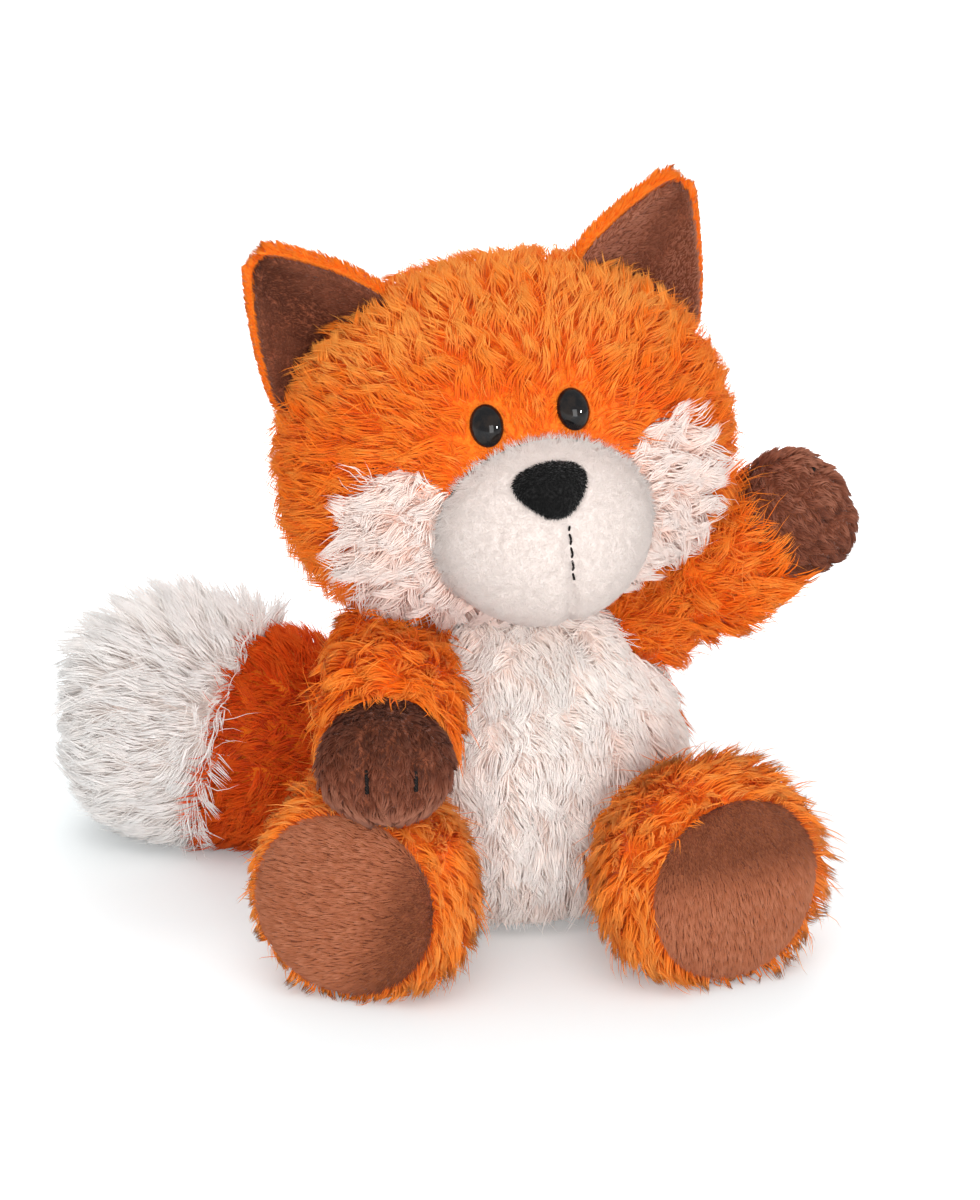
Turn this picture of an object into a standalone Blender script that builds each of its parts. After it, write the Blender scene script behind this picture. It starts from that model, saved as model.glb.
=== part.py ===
"""A seated plush fox, sewn from skins of plush over separate fillings.

The fox faces -Y and sits on the plane Z = 0, with the origin under the middle of its box. Every skin is
modelled at about the middle of its pile. The head, the arms, the legs and the tail each turn about an
empty at the seam that holds them to the body.
"""

import math

import bmesh
import bpy
from mathutils import Matrix, Vector
from mathutils.bvhtree import BVHTree

MM = 0.001

# Fabric, seams and clearances
SKIN_THICKNESS = 1.6 * MM
SEAM_GAP = 0.3 * MM
SEAT_GAP = 0.5 * MM
REST_DEPTH = 0.5 * MM
WELD_DISTANCE = 0.01 * MM
CUTTER_REACH = 60 * MM
BLOCK_SIZE = 240 * MM

# A form's half size before it is scaled
UNIT = 1

# How far a form's facets cut inside its curve, as a share of its radius
FACET_SAG_SHARE = 0.03

# Where the body's axis meets the floor
BODY_X = 11.2 * MM
BODY_Y = -3.7 * MM

# Body
BODY_HALF_WIDTH = 40 * MM
BODY_HALF_DEPTH = 33 * MM
BODY_WIDEST_HEIGHT = 34 * MM
BODY_CROWN_HEIGHT = 88 * MM
NECK_DROP = 6 * MM
NECK_HEIGHT = BODY_CROWN_HEIGHT - NECK_DROP
NECK_LEAN_X = -4 * MM
NECK_LEAN_Y = -3 * MM
SIDE_SEAM_BACK = 3 * MM

# Head, about its own middle
HEAD_HALF_WIDTH = 51 * MM
HEAD_HALF_DEPTH = 42 * MM
HEAD_HALF_HEIGHT = 39.5 * MM
HEAD_MIDDLE_X = 0.5 * MM
HEAD_MIDDLE_Y = -5.5 * MM
HEAD_RISE = 37 * MM
HEAD_TURN = math.radians(4.3)
HEAD_TILT = math.radians(8)
HEAD_NOD = math.radians(2.5)

# Muzzle
MUZZLE_HALF_WIDTH = 24.7 * MM
MUZZLE_HALF_DEPTH = 25 * MM
MUZZLE_HALF_HEIGHT = 22.2 * MM
MUZZLE_FORWARD = 34.7 * MM
MUZZLE_DROP = 13.5 * MM

# Nose and mouth
NOSE_HALF_WIDTH = 9.6 * MM
NOSE_HALF_HEIGHT = 6.6 * MM
NOSE_NARROWING_SHARE = 0.42
NOSE_THICKNESS = 2.6 * MM
NOSE_RAISE = 13.4 * MM
THREAD_RADIUS = 0.5 * MM
MOUTH_TOP_DROP = 1 * MM
MOUTH_LENGTH = 13 * MM

# Cheek patches
CHEEK_HALF_WIDTH = 17.5 * MM
CHEEK_HALF_DEPTH = 22 * MM
CHEEK_HALF_HEIGHT = 20 * MM
CHEEK_SIDE = 30.5 * MM
CHEEK_FORWARD = 24 * MM
CHEEK_DROP = 12.5 * MM

# Eyes
EYE_SPACING = 20 * MM
EYE_RAISE = 13.4 * MM
EYE_HALF_WIDTH = 3.9 * MM
EYE_HALF_HEIGHT = 5 * MM
EYE_DOME = 3.2 * MM
SHANK_RADIUS = 1.8 * MM
SHANK_LENGTH = 8 * MM
WASHER_RADIUS = 5.5 * MM
WASHER_THICKNESS = 1.2 * MM
WASHER_DEPTH = 1.3 * MM

# Ears
EAR_WIDTH = 37 * MM
EAR_HEIGHT = 27 * MM
EAR_TIP_WIDTH = 5 * MM
EAR_TIP_SHIFT = 5.7 * MM
EAR_CUP = 6.5 * MM
EAR_CUP_FADE_SHARE = 0.75
EAR_SHOULDER_FULLNESS = 1.25
EAR_TIP_FULLNESS = 0.85
EAR_BACK_THICKNESS = 2.4 * MM
EAR_INNER_THICKNESS = 1.8 * MM
EAR_INNER_MARGIN = 1.6 * MM
EAR_ROOT_DEPTH = 9 * MM
EAR_SIDE = 37.2 * MM
EAR_RAISE = 27.8 * MM
EAR_BACK = 1 * MM
EAR_SLANT = math.radians(40.5)
EAR_OUTWARD = math.radians(14)

# Arms
ARM_ROOT_RADIUS = 12.3 * MM
ARM_FULL_RADIUS = 14.6 * MM
ARM_FULL_REACH = 20 * MM
WRIST_RADIUS = 12.8 * MM
WRIST_REACH = 34.5 * MM
PAW_RADIUS = 14.8 * MM
PAW_REACH = 45.5 * MM
PAW_CAP = 12 * MM
PAW_THICKNESS_SHARE = 0.85
LAP_SHOULDER_DROP = 12 * MM
LAP_SHOULDER_BEARING = math.radians(57)
LAP_SHOULDER_STANDOFF = 5 * MM
LAP_ARM_BEARING = math.radians(9)
LAP_ARM_RISE = math.radians(-16)
RAISED_SHOULDER_DROP = 9.5 * MM
RAISED_SHOULDER_BEARING = math.radians(90)
RAISED_SHOULDER_STANDOFF = 5.7 * MM
RAISED_ARM_BEARING = math.radians(84)
RAISED_ARM_RISE = math.radians(33.5)
RAISED_ARM_ROLL = math.radians(90)
TOE_STITCH_SPACING = 11 * MM
TOE_STITCH_LENGTH = 9 * MM

# Legs
LEG_ROOT_RADIUS = 17 * MM
LEG_FULL_RADIUS = 24.6 * MM
LEG_FULL_REACH = 35 * MM
SOLE_RADIUS = 21.3 * MM
SOLE_REACH = 46 * MM
SOLE_DOME = 5.5 * MM
HIP_SIDE = 26.8 * MM
HIP_FORWARD = 19.5 * MM
LEFT_LEG_SPLAY = math.radians(21)
RIGHT_LEG_SPLAY = math.radians(26)

# Tail
TAIL_ROOT_RADIUS = 14 * MM
TAIL_FULL_RADIUS = 25.5 * MM
TAIL_FULL_REACH = 36 * MM
TAIL_TIP_RADIUS = 28 * MM
TAIL_TIP_REACH = 65 * MM
TAIL_TIP_CAP = 26 * MM
TAIL_DEPTH_SHARE = 0.94
TAIL_SEAM_REACH = 48 * MM
TAIL_SIDE = 18.5 * MM
TAIL_BACK = 30.5 * MM
TAIL_BEARING = math.radians(115)
TAIL_SEAM_LEAN = math.radians(14)

# How far round its joint a limb's root stays a ball, before the limb swells
ROOT_WRAP = math.radians(120)

# How full each form is: more than an ellipsoid's is boxier
ELLIPSOID_FULLNESS = 2
BODY_LOWER_FULLNESS = 2.8
BODY_UPPER_FULLNESS = 2.0
HEAD_FULLNESS = 2.2
MUZZLE_FULLNESS = 2.1
HEAD_TAPER_SHARE = 0.05

# Facets
HEAD_STEPS, HEAD_RINGS = 20, 11
BODY_STEPS, BODY_RINGS = 20, 9
MUZZLE_STEPS, MUZZLE_RINGS = 16, 8
LIMB_STEPS, SPAN_RINGS, CAP_RINGS = 14, 2, 3
FILLING_STEPS, FILLING_RINGS, FILLING_CAP_RINGS = 12, 8, 3
BALL_STEPS, BALL_RINGS = 12, 7
CHEEK_STEPS, CHEEK_RINGS = 12, 7
EAR_ACROSS, EAR_UP = 7, 6
EYE_STEPS, EYE_RINGS = 16, 3
NOSE_POINTS = 18
THREAD_POINTS = 7

UP = Vector((0, 0, 1))
FORWARD = Vector((0, -1, 0))
LEFT, RIGHT = 1, -1  # the fox's own left is at +X
SIDE_NAMES = {LEFT: "left", RIGHT: "right"}

COLOURS = {
    "orange_plush": (0.83, 0.16, 0.01),
    "white_plush": (0.80, 0.68, 0.62),
    "muzzle_plush": (0.78, 0.73, 0.70),
    "brown_plush": (0.22, 0.09, 0.05),
    "black_velvet": (0.006, 0.006, 0.007),
    "black_gloss": (0.004, 0.004, 0.005),
    "dark_thread": (0.02, 0.015, 0.015),
    "washer_plastic": (0.75, 0.75, 0.72),
    "fibre_filling": (0.85, 0.85, 0.83),
}
GLOSSY = {"black_gloss": 0.06, "washer_plastic": 0.4, "dark_thread": 0.6}


def clear_scene():
    for obj in list(bpy.data.objects):
        bpy.data.objects.remove(obj, do_unlink=True)


def make_collection(name):
    collection = bpy.data.collections.new(name)
    bpy.context.scene.collection.children.link(collection)
    return collection


def make_material(name):
    material = bpy.data.materials.new(name)
    material.use_nodes = True
    shader = material.node_tree.nodes["Principled BSDF"]
    shader.inputs["Base Color"].default_value = (*COLOURS[name], 1)
    shader.inputs["Roughness"].default_value = GLOSSY.get(name, 0.95)
    shader.inputs["Metallic"].default_value = 0
    material.diffuse_color = (*COLOURS[name], 1)
    return material


def smooth(share):
    """Eases a share from 0 to 1."""
    share = min(max(share, 0.0), 1.0)
    return share * share * (3 - 2 * share)


def turned(profile, steps):
    """A closed form turned about +Z from (radius, height) pairs that start and end on the axis."""
    form = bmesh.new()
    points = [form.verts.new((radius, 0, height)) for radius, height in profile]
    edges = [form.edges.new(pair) for pair in zip(points, points[1:])]
    bmesh.ops.spin(
        form,
        geom=points + edges,
        cent=(0, 0, 0),
        axis=UP,
        angle=math.tau,
        steps=steps,
        use_merge=True,
    )
    bmesh.ops.remove_doubles(form, verts=form.verts, dist=WELD_DISTANCE)
    bmesh.ops.recalc_face_normals(form, faces=form.faces)
    return form


def swollen_profile(lower, upper, lower_fullness, upper_fullness, rings):
    """(radius share, height) pairs of a ball with unlike halves, from its lowest point up."""
    profile = []
    for ring in range(rings + 1):
        angle = math.pi * (ring / rings - 0.5)
        half, fullness = (lower, lower_fullness) if angle < 0 else (upper, upper_fullness)
        power = 2 / fullness
        height = math.copysign(half * abs(math.sin(angle)) ** power, angle)
        radius = max(math.cos(angle), 0) ** power if 0 < ring < rings else 0
        profile.append((radius, height))
    return profile


def ball(half_sizes, fullness, steps, rings, axis=UP):
    """A swollen ball about the origin, with its poles along axis."""
    profile = swollen_profile(UNIT, UNIT, fullness, fullness, rings)
    form = turned(profile, steps)
    turn = UP.rotation_difference(axis).to_matrix()
    bmesh.ops.transform(form, matrix=turn.to_4x4(), verts=form.verts)
    bmesh.ops.scale(form, vec=half_sizes, verts=form.verts)
    return form


def limb_profile(root_radius, stations, cap, cap_rings, span_rings):
    """(radius, reach) pairs of a limb: a ball for a root, stations further out, and a cap."""
    quarter = math.pi / 2
    root_rings = math.ceil(cap_rings * ROOT_WRAP / quarter)
    profile = []
    for ring in range(root_rings + 1):
        angle = ROOT_WRAP * ring / root_rings
        profile.append((root_radius * math.sin(angle), -root_radius * math.cos(angle)))
    before = profile[-1]
    for radius, reach in stations:
        for ring in range(1, span_rings + 1):
            share = ring / span_rings
            swell = before[0] + (radius - before[0]) * smooth(share)
            profile.append((swell, before[1] + (reach - before[1]) * share))
        before = (radius, reach)
    for ring in range(1, cap_rings + 1):
        angle = quarter * ring / cap_rings
        radius = before[0] * math.cos(angle) if ring < cap_rings else 0
        profile.append((radius, before[1] + cap * math.sin(angle)))
    return profile


def aim(joint, direction, roll=0):
    """The matrix that lays a form's +Z along direction from the joint, with its +Y up unless it rolls."""
    along = direction.normalized()
    across = UP.cross(along).normalized()
    raised = along.cross(across)
    turn = Matrix((across, raised, along)).transposed()
    return Matrix.Translation(joint) @ turn.to_4x4() @ Matrix.Rotation(roll, 4, "Z")


def heading(side, bearing, rise=0.0):
    """The direction at an angle outwards from the front, to one side, and then up."""
    flat = math.cos(rise)
    return Vector((side * math.sin(bearing) * flat, -math.cos(bearing) * flat, math.sin(rise)))


def grow(form, distance):
    """Moves every face of a form outwards, or inwards where distance is negative."""
    form.normal_update()
    moves = [(vert, vert.normal * distance) for vert in form.verts]
    for vert, move in moves:
        vert.co += move
    return form


def trim(form, point, normal, close=True):
    """Takes off what lies beyond a plane on the side of its normal."""
    geometry = form.verts[:] + form.edges[:] + form.faces[:]
    bmesh.ops.bisect_plane(form, geom=geometry, plane_co=point, plane_no=normal, clear_outer=True)
    if close:
        rim = [edge for edge in form.edges if edge.is_boundary]
        bmesh.ops.holes_fill(form, edges=rim, sides=0)
        bmesh.ops.recalc_face_normals(form, faces=form.faces)
    return form


def rest(form):
    """Cuts a form flat where it stands on the floor."""
    return trim(form, (0, 0, 0), -UP)


def body_lean(height):
    """How far the body's middle has moved at a height, because the body leans to carry the head."""
    share = (height - BODY_WIDEST_HEIGHT) / (NECK_HEIGHT - BODY_WIDEST_HEIGHT)
    return Vector((NECK_LEAN_X, NECK_LEAN_Y, 0)) * smooth(share)


def body_reach(height, bearing):
    """How far the body's outside is from its middle at a height, in the direction of a bearing."""
    crown = BODY_CROWN_HEIGHT - BODY_WIDEST_HEIGHT
    share = min(abs(height - BODY_WIDEST_HEIGHT) / crown, 1)
    swell = (1 - share**BODY_UPPER_FULLNESS) ** (1 / BODY_UPPER_FULLNESS)
    return swell / math.hypot(
        math.sin(bearing) / BODY_HALF_WIDTH, math.cos(bearing) / BODY_HALF_DEPTH
    )


def shoulder(side, drop, bearing, standoff):
    """The middle of a shoulder seam's round root, below the neck and just outside the body."""
    height = NECK_HEIGHT - drop
    reach = body_reach(height, bearing) + standoff
    middle = Vector((BODY_X, BODY_Y, height)) + body_lean(height)
    return middle + heading(side, bearing) * reach


def lying_height(radius):
    """The height of a lying limb's middle, which sinks its underside's facet by the depth of the rest."""
    return radius * math.cos(math.pi / LIMB_STEPS) - REST_DEPTH


LEG_MIDDLE_HEIGHT = lying_height(LEG_FULL_RADIUS)
JOINTS = {
    "neck": Vector((BODY_X, BODY_Y, NECK_HEIGHT)) + body_lean(NECK_HEIGHT),
    "shoulder_left": shoulder(
        LEFT, RAISED_SHOULDER_DROP, RAISED_SHOULDER_BEARING, RAISED_SHOULDER_STANDOFF
    ),
    "shoulder_right": shoulder(
        RIGHT, LAP_SHOULDER_DROP, LAP_SHOULDER_BEARING, LAP_SHOULDER_STANDOFF
    ),
    "hip_left": Vector((BODY_X + HIP_SIDE, BODY_Y - HIP_FORWARD, LEG_MIDDLE_HEIGHT)),
    "hip_right": Vector((BODY_X - HIP_SIDE, BODY_Y - HIP_FORWARD, LEG_MIDDLE_HEIGHT)),
    "tail_root": Vector((BODY_X - TAIL_SIDE, BODY_Y + TAIL_BACK, lying_height(TAIL_TIP_RADIUS))),
}
ARM_HEADINGS = {
    LEFT: heading(LEFT, RAISED_ARM_BEARING, RAISED_ARM_RISE),
    RIGHT: heading(RIGHT, LAP_ARM_BEARING, LAP_ARM_RISE),
}
ARM_ROLLS = {LEFT: RAISED_ARM_ROLL, RIGHT: 0}
LEG_HEADINGS = {LEFT: heading(LEFT, LEFT_LEG_SPLAY), RIGHT: heading(RIGHT, RIGHT_LEG_SPLAY)}
HEAD_MIDDLE = JOINTS["neck"] + Vector((HEAD_MIDDLE_X, HEAD_MIDDLE_Y, HEAD_RISE))
HEAD_POSE = (
    Matrix.Translation(HEAD_MIDDLE)
    @ Matrix.Rotation(HEAD_TURN, 4, "Z")
    @ Matrix.Rotation(-HEAD_TILT, 4, "Y")
    @ Matrix.Rotation(-HEAD_NOD, 4, "X")
)


def pose(form, matrix):
    bmesh.ops.transform(form, matrix=matrix, verts=form.verts)
    return form


def body_form(steps=BODY_STEPS, rings=BODY_RINGS):
    """The body, widest low down, with its seat flat on the floor."""
    profile = swollen_profile(
        BODY_WIDEST_HEIGHT + REST_DEPTH,
        BODY_CROWN_HEIGHT - BODY_WIDEST_HEIGHT,
        BODY_LOWER_FULLNESS,
        BODY_UPPER_FULLNESS,
        rings,
    )
    form = turned(profile, steps)
    bmesh.ops.scale(form, vec=(BODY_HALF_WIDTH, BODY_HALF_DEPTH, 1), verts=form.verts)
    bmesh.ops.translate(form, vec=(BODY_X, BODY_Y, BODY_WIDEST_HEIGHT), verts=form.verts)
    for vert in form.verts:
        vert.co += body_lean(vert.co.z)
    return form


def head_form(steps=HEAD_STEPS, rings=HEAD_RINGS):
    """The head about its own middle, a little broader at the cheeks than at the crown."""
    half_sizes = (HEAD_HALF_WIDTH, HEAD_HALF_DEPTH, HEAD_HALF_HEIGHT)
    form = ball(half_sizes, HEAD_FULLNESS, steps, rings)
    for vert in form.verts:
        vert.co.x *= 1 - HEAD_TAPER_SHARE * vert.co.z / HEAD_HALF_HEIGHT
    return form


def muzzle_form(steps=MUZZLE_STEPS, rings=MUZZLE_RINGS):
    """The muzzle about the head's middle."""
    half_sizes = (MUZZLE_HALF_WIDTH, MUZZLE_HALF_DEPTH, MUZZLE_HALF_HEIGHT)
    form = ball(half_sizes, MUZZLE_FULLNESS, steps, rings, FORWARD)
    bmesh.ops.translate(form, vec=(0, -MUZZLE_FORWARD, -MUZZLE_DROP), verts=form.verts)
    return form


def arm_frame(side):
    return aim(JOINTS[f"shoulder_{SIDE_NAMES[side]}"], ARM_HEADINGS[side], ARM_ROLLS[side])


def arm_form(side, steps=LIMB_STEPS, cap_rings=CAP_RINGS):
    """An arm along its heading, swelling at the upper arm and again at the flattened paw."""
    stations = (
        (ARM_FULL_RADIUS, ARM_FULL_REACH),
        (WRIST_RADIUS, WRIST_REACH),
        (PAW_RADIUS, PAW_REACH),
    )
    profile = limb_profile(ARM_ROOT_RADIUS, stations, PAW_CAP, cap_rings, SPAN_RINGS)
    form = turned(profile, steps)
    for vert in form.verts:
        flattening = smooth((vert.co.z - ARM_FULL_REACH) / (PAW_REACH - ARM_FULL_REACH))
        vert.co.y *= 1 + (PAW_THICKNESS_SHARE - 1) * flattening
    return pose(form, arm_frame(side))


def leg_form(side, steps=LIMB_STEPS, cap_rings=CAP_RINGS):
    """A short leg that swells to its foot, lying flat on the floor."""
    stations = ((LEG_FULL_RADIUS, LEG_FULL_REACH), (SOLE_RADIUS, SOLE_REACH))
    profile = limb_profile(LEG_ROOT_RADIUS, stations, SOLE_DOME, cap_rings, SPAN_RINGS)
    name = SIDE_NAMES[side]
    return pose(turned(profile, steps), aim(JOINTS[f"hip_{name}"], LEG_HEADINGS[side]))


def tail_form(steps=LIMB_STEPS, cap_rings=CAP_RINGS):
    """The tail, which swells all the way to its round tip."""
    stations = ((TAIL_FULL_RADIUS, TAIL_FULL_REACH), (TAIL_TIP_RADIUS, TAIL_TIP_REACH))
    profile = limb_profile(TAIL_ROOT_RADIUS, stations, TAIL_TIP_CAP, cap_rings, SPAN_RINGS)
    form = turned(profile, steps)
    for vert in form.verts:
        flattening = smooth(vert.co.z / TAIL_FULL_REACH)
        vert.co.x *= 1 + (TAIL_DEPTH_SHARE - 1) * flattening
    return pose(form, aim(JOINTS["tail_root"], heading(RIGHT, TAIL_BEARING)))


def seat_ball(joint, root_radius, clearance):
    """The round hollow that a limb's root turns in, wide enough for the facets of both."""
    facet = math.cos(math.pi / BALL_STEPS) ** 2
    radius = (root_radius + clearance) / facet
    form = ball((radius, radius, radius), ELLIPSOID_FULLNESS, BALL_STEPS, BALL_RINGS)
    bmesh.ops.translate(form, vec=joint, verts=form.verts)
    return form


class Model:
    """The collections, materials, empties and objects of the fox."""

    def __init__(self):
        clear_scene()
        self.parts = make_collection("plush_fox")
        self.cutters = make_collection("cutters")
        self.materials = {name: make_material(name) for name in COLOURS}
        self.empties = {}

    def add_joints(self):
        """One empty for each seam that a piece moves about, carried by the body's."""
        body = bpy.data.objects.new("body_root", None)
        body.location = (BODY_X, BODY_Y, 0)
        self.parts.objects.link(body)
        self.empties["body"] = body
        for name, place in JOINTS.items():
            empty = bpy.data.objects.new(f"{name}_joint", None)
            empty.location = place - body.location
            empty.parent = body
            self.parts.objects.link(empty)
            self.empties[name] = empty

    def origin_of(self, joint):
        return JOINTS.get(joint, Vector((BODY_X, BODY_Y, 0)))

    def piece(self, name, form, material, joint, frame=None):
        """Makes a named part that its joint carries, from a form in world coordinates or in a frame."""
        if frame is None:
            bmesh.ops.translate(form, vec=-self.origin_of(joint), verts=form.verts)
        mesh = bpy.data.meshes.new(name)
        form.to_mesh(mesh)
        form.free()
        mesh.shade_smooth()
        mesh.materials.append(self.materials[material])
        obj = bpy.data.objects.new(name, mesh)
        obj.parent = self.empties[joint]
        if frame is not None:
            obj.matrix_local = Matrix.Translation(-self.origin_of(joint)) @ frame
        self.parts.objects.link(obj)
        return obj

    def cutter(self, name, form):
        mesh = bpy.data.meshes.new(name)
        form.to_mesh(mesh)
        form.free()
        obj = bpy.data.objects.new(name, mesh)
        obj.hide_render = True
        obj.display_type = "WIRE"
        self.cutters.objects.link(obj)
        return obj

    def thread(self, name, points, joint):
        """A sewn thread along points in world coordinates."""
        curve = bpy.data.curves.new(name, "CURVE")
        curve.dimensions = "3D"
        curve.bevel_depth = THREAD_RADIUS
        curve.bevel_resolution = 1
        curve.use_fill_caps = True
        spline = curve.splines.new("POLY")
        spline.points.add(len(points) - 1)
        origin = self.origin_of(joint)
        for spot, place in zip(spline.points, points):
            spot.co = (*(place - origin), 1)
        curve.materials.append(self.materials["dark_thread"])
        obj = bpy.data.objects.new(name, curve)
        obj.parent = self.empties[joint]
        self.parts.objects.link(obj)
        return obj


def skin_over(obj):
    """Gives an open surface the thickness of the plush, inwards."""
    modifier = obj.modifiers.new("skin", "SOLIDIFY")
    modifier.thickness = SKIN_THICKNESS
    modifier.offset = -1
    modifier.use_even_offset = True


def combine(obj, operation, *others):
    for other in others:
        modifier = obj.modifiers.new(f"{operation.lower()}_{other.name}", "BOOLEAN")
        modifier.operation = operation
        modifier.object = other
        modifier.solver = "EXACT"


def filling_inset(radius):
    """How far a filling lies inside the form that it fills, clear of the skin's facets."""
    return -(SKIN_THICKNESS + SEAM_GAP + FACET_SAG_SHARE * radius)


def surface_hit(form, start, direction):
    """The first point that a ray meets on a form, and the outward normal there."""
    place, normal, _, _ = BVHTree.FromBMesh(form).ray_cast(start, direction)
    return place, normal


def drill(place, normal, radius, depth, back):
    """A round cutter along a normal, from depth inside to back outside."""
    form = bmesh.new()
    length = depth + back
    bmesh.ops.create_cone(
        form,
        cap_ends=True,
        segments=EYE_STEPS,
        radius1=radius,
        radius2=radius,
        depth=length,
    )
    middle = place + normal * (back - length / 2)
    turn = UP.rotation_difference(normal).to_matrix().to_4x4()
    return pose(form, Matrix.Translation(middle) @ turn)


def half_space(point, normal):
    """A block that fills the side of a plane that its normal points to."""
    form = bmesh.new()
    bmesh.ops.create_cube(form, size=BLOCK_SIZE)
    bmesh.ops.translate(form, vec=(0, 0, BLOCK_SIZE / 2), verts=form.verts)
    turn = UP.rotation_difference(normal).to_matrix().to_4x4()
    return pose(form, Matrix.Translation(point) @ turn)


def build_body(model):
    """The belly and back panels and their filling, hollowed where the limbs are seated."""
    roots = {
        "shoulder_left": ARM_ROOT_RADIUS,
        "shoulder_right": ARM_ROOT_RADIUS,
        "hip_left": LEG_ROOT_RADIUS,
        "hip_right": LEG_ROOT_RADIUS,
        "tail_root": TAIL_ROOT_RADIUS,
    }
    seats = [
        model.cutter(f"{name}_seat", seat_ball(JOINTS[name], radius, SEAT_GAP))
        for name, radius in roots.items()
    ]
    neck_top = Vector((0, 0, NECK_HEIGHT - SEAM_GAP / 2))
    seam = Vector((BODY_X, BODY_Y + SIDE_SEAM_BACK, 0))
    panels = (("belly_panel", "white_plush", FORWARD), ("back_panel", "orange_plush", -FORWARD))
    for name, material, facing in panels:
        form = rest(body_form())
        trim(form, neck_top, UP, close=False)
        panel = model.piece(name, form, material, "body")
        skin_over(panel)
        beyond = model.cutter(f"{name}_edge", half_space(seam + facing * SEAM_GAP / 2, -facing))
        combine(panel, "DIFFERENCE", beyond, *seats)
    filling = rest(body_form(FILLING_STEPS, FILLING_RINGS))
    grow(filling, filling_inset(BODY_HALF_WIDTH))
    trim(filling, neck_top, UP)
    filling = model.piece("body_filling", filling, "fibre_filling", "body")
    combine(filling, "DIFFERENCE", *seats)


def build_limb(model, joint, skins, filling_name, form_of, radius, cut, direction, padded_end=False):
    """A limb's near and far skins, parted at a seam square to direction, and its filling.

    A padded end is a solid pad that closes the limb, and the filling stops short of it.
    """
    near_name, near_material, far_name, far_material = skins
    form = rest(form_of())
    trim(form, cut - direction * SEAM_GAP / 2, direction, close=False)
    skin_over(model.piece(near_name, form, near_material, joint))
    form = rest(form_of())
    trim(form, cut + direction * SEAM_GAP / 2, -direction, close=padded_end)
    far = model.piece(far_name, form, far_material, joint)
    filling = rest(form_of(FILLING_STEPS, FILLING_CAP_RINGS))
    grow(filling, filling_inset(radius))
    if padded_end:
        trim(filling, cut - direction * SEAM_GAP, direction)
    else:
        skin_over(far)
    model.piece(filling_name, filling, "fibre_filling", joint)


def build_arm(model, side):
    name = SIDE_NAMES[side]
    joint = f"shoulder_{name}"
    direction = ARM_HEADINGS[side]
    skins = (f"arm_skin_{name}", "orange_plush", f"paw_skin_{name}", "brown_plush")
    build_limb(
        model,
        joint,
        skins,
        f"arm_filling_{name}",
        lambda *detail: arm_form(side, *detail),
        ARM_FULL_RADIUS,
        JOINTS[joint] + direction * WRIST_REACH,
        direction,
    )
    add_toe_stitches(model, side)


def add_toe_stitches(model, side):
    """Two threads drawn over the end of a paw, from its top towards its underside."""
    name = SIDE_NAMES[side]
    joint = f"shoulder_{name}"
    surface = grow(arm_form(side), SEAM_GAP + THREAD_RADIUS)
    frame = arm_frame(side)
    for label, place in (("inner", -TOE_STITCH_SPACING / 2), ("outer", TOE_STITCH_SPACING / 2)):
        points = []
        for index in range(THREAD_POINTS):
            swing = (index / (THREAD_POINTS - 1)) * TOE_STITCH_LENGTH / PAW_CAP
            start = Vector((place, 0, PAW_REACH))
            outwards = Vector((0, math.sin(swing), math.cos(swing)))
            far = start + outwards * CUTTER_REACH
            ray = (frame @ start) - (frame @ far)
            points.append(surface_hit(surface, frame @ far, ray.normalized())[0])
        model.thread(f"toe_stitch_{label}_{name}", points, joint)
    surface.free()


def build_leg(model, side):
    name = SIDE_NAMES[side]
    joint = f"hip_{name}"
    direction = LEG_HEADINGS[side]
    skins = (f"leg_skin_{name}", "orange_plush", f"sole_pad_{name}", "brown_plush")
    build_limb(
        model,
        joint,
        skins,
        f"leg_filling_{name}",
        lambda *detail: leg_form(side, *detail),
        LEG_FULL_RADIUS,
        JOINTS[joint] + direction * SOLE_REACH,
        direction,
        padded_end=True,
    )


def build_tail(model):
    seam_middle = JOINTS["tail_root"] + heading(RIGHT, TAIL_BEARING) * TAIL_SEAM_REACH
    build_limb(
        model,
        "tail_root",
        ("tail_skin", "orange_plush", "tail_tip", "white_plush"),
        "tail_filling",
        tail_form,
        TAIL_TIP_RADIUS,
        seam_middle,
        heading(RIGHT, TAIL_BEARING, TAIL_SEAM_LEAN),
    )


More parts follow.
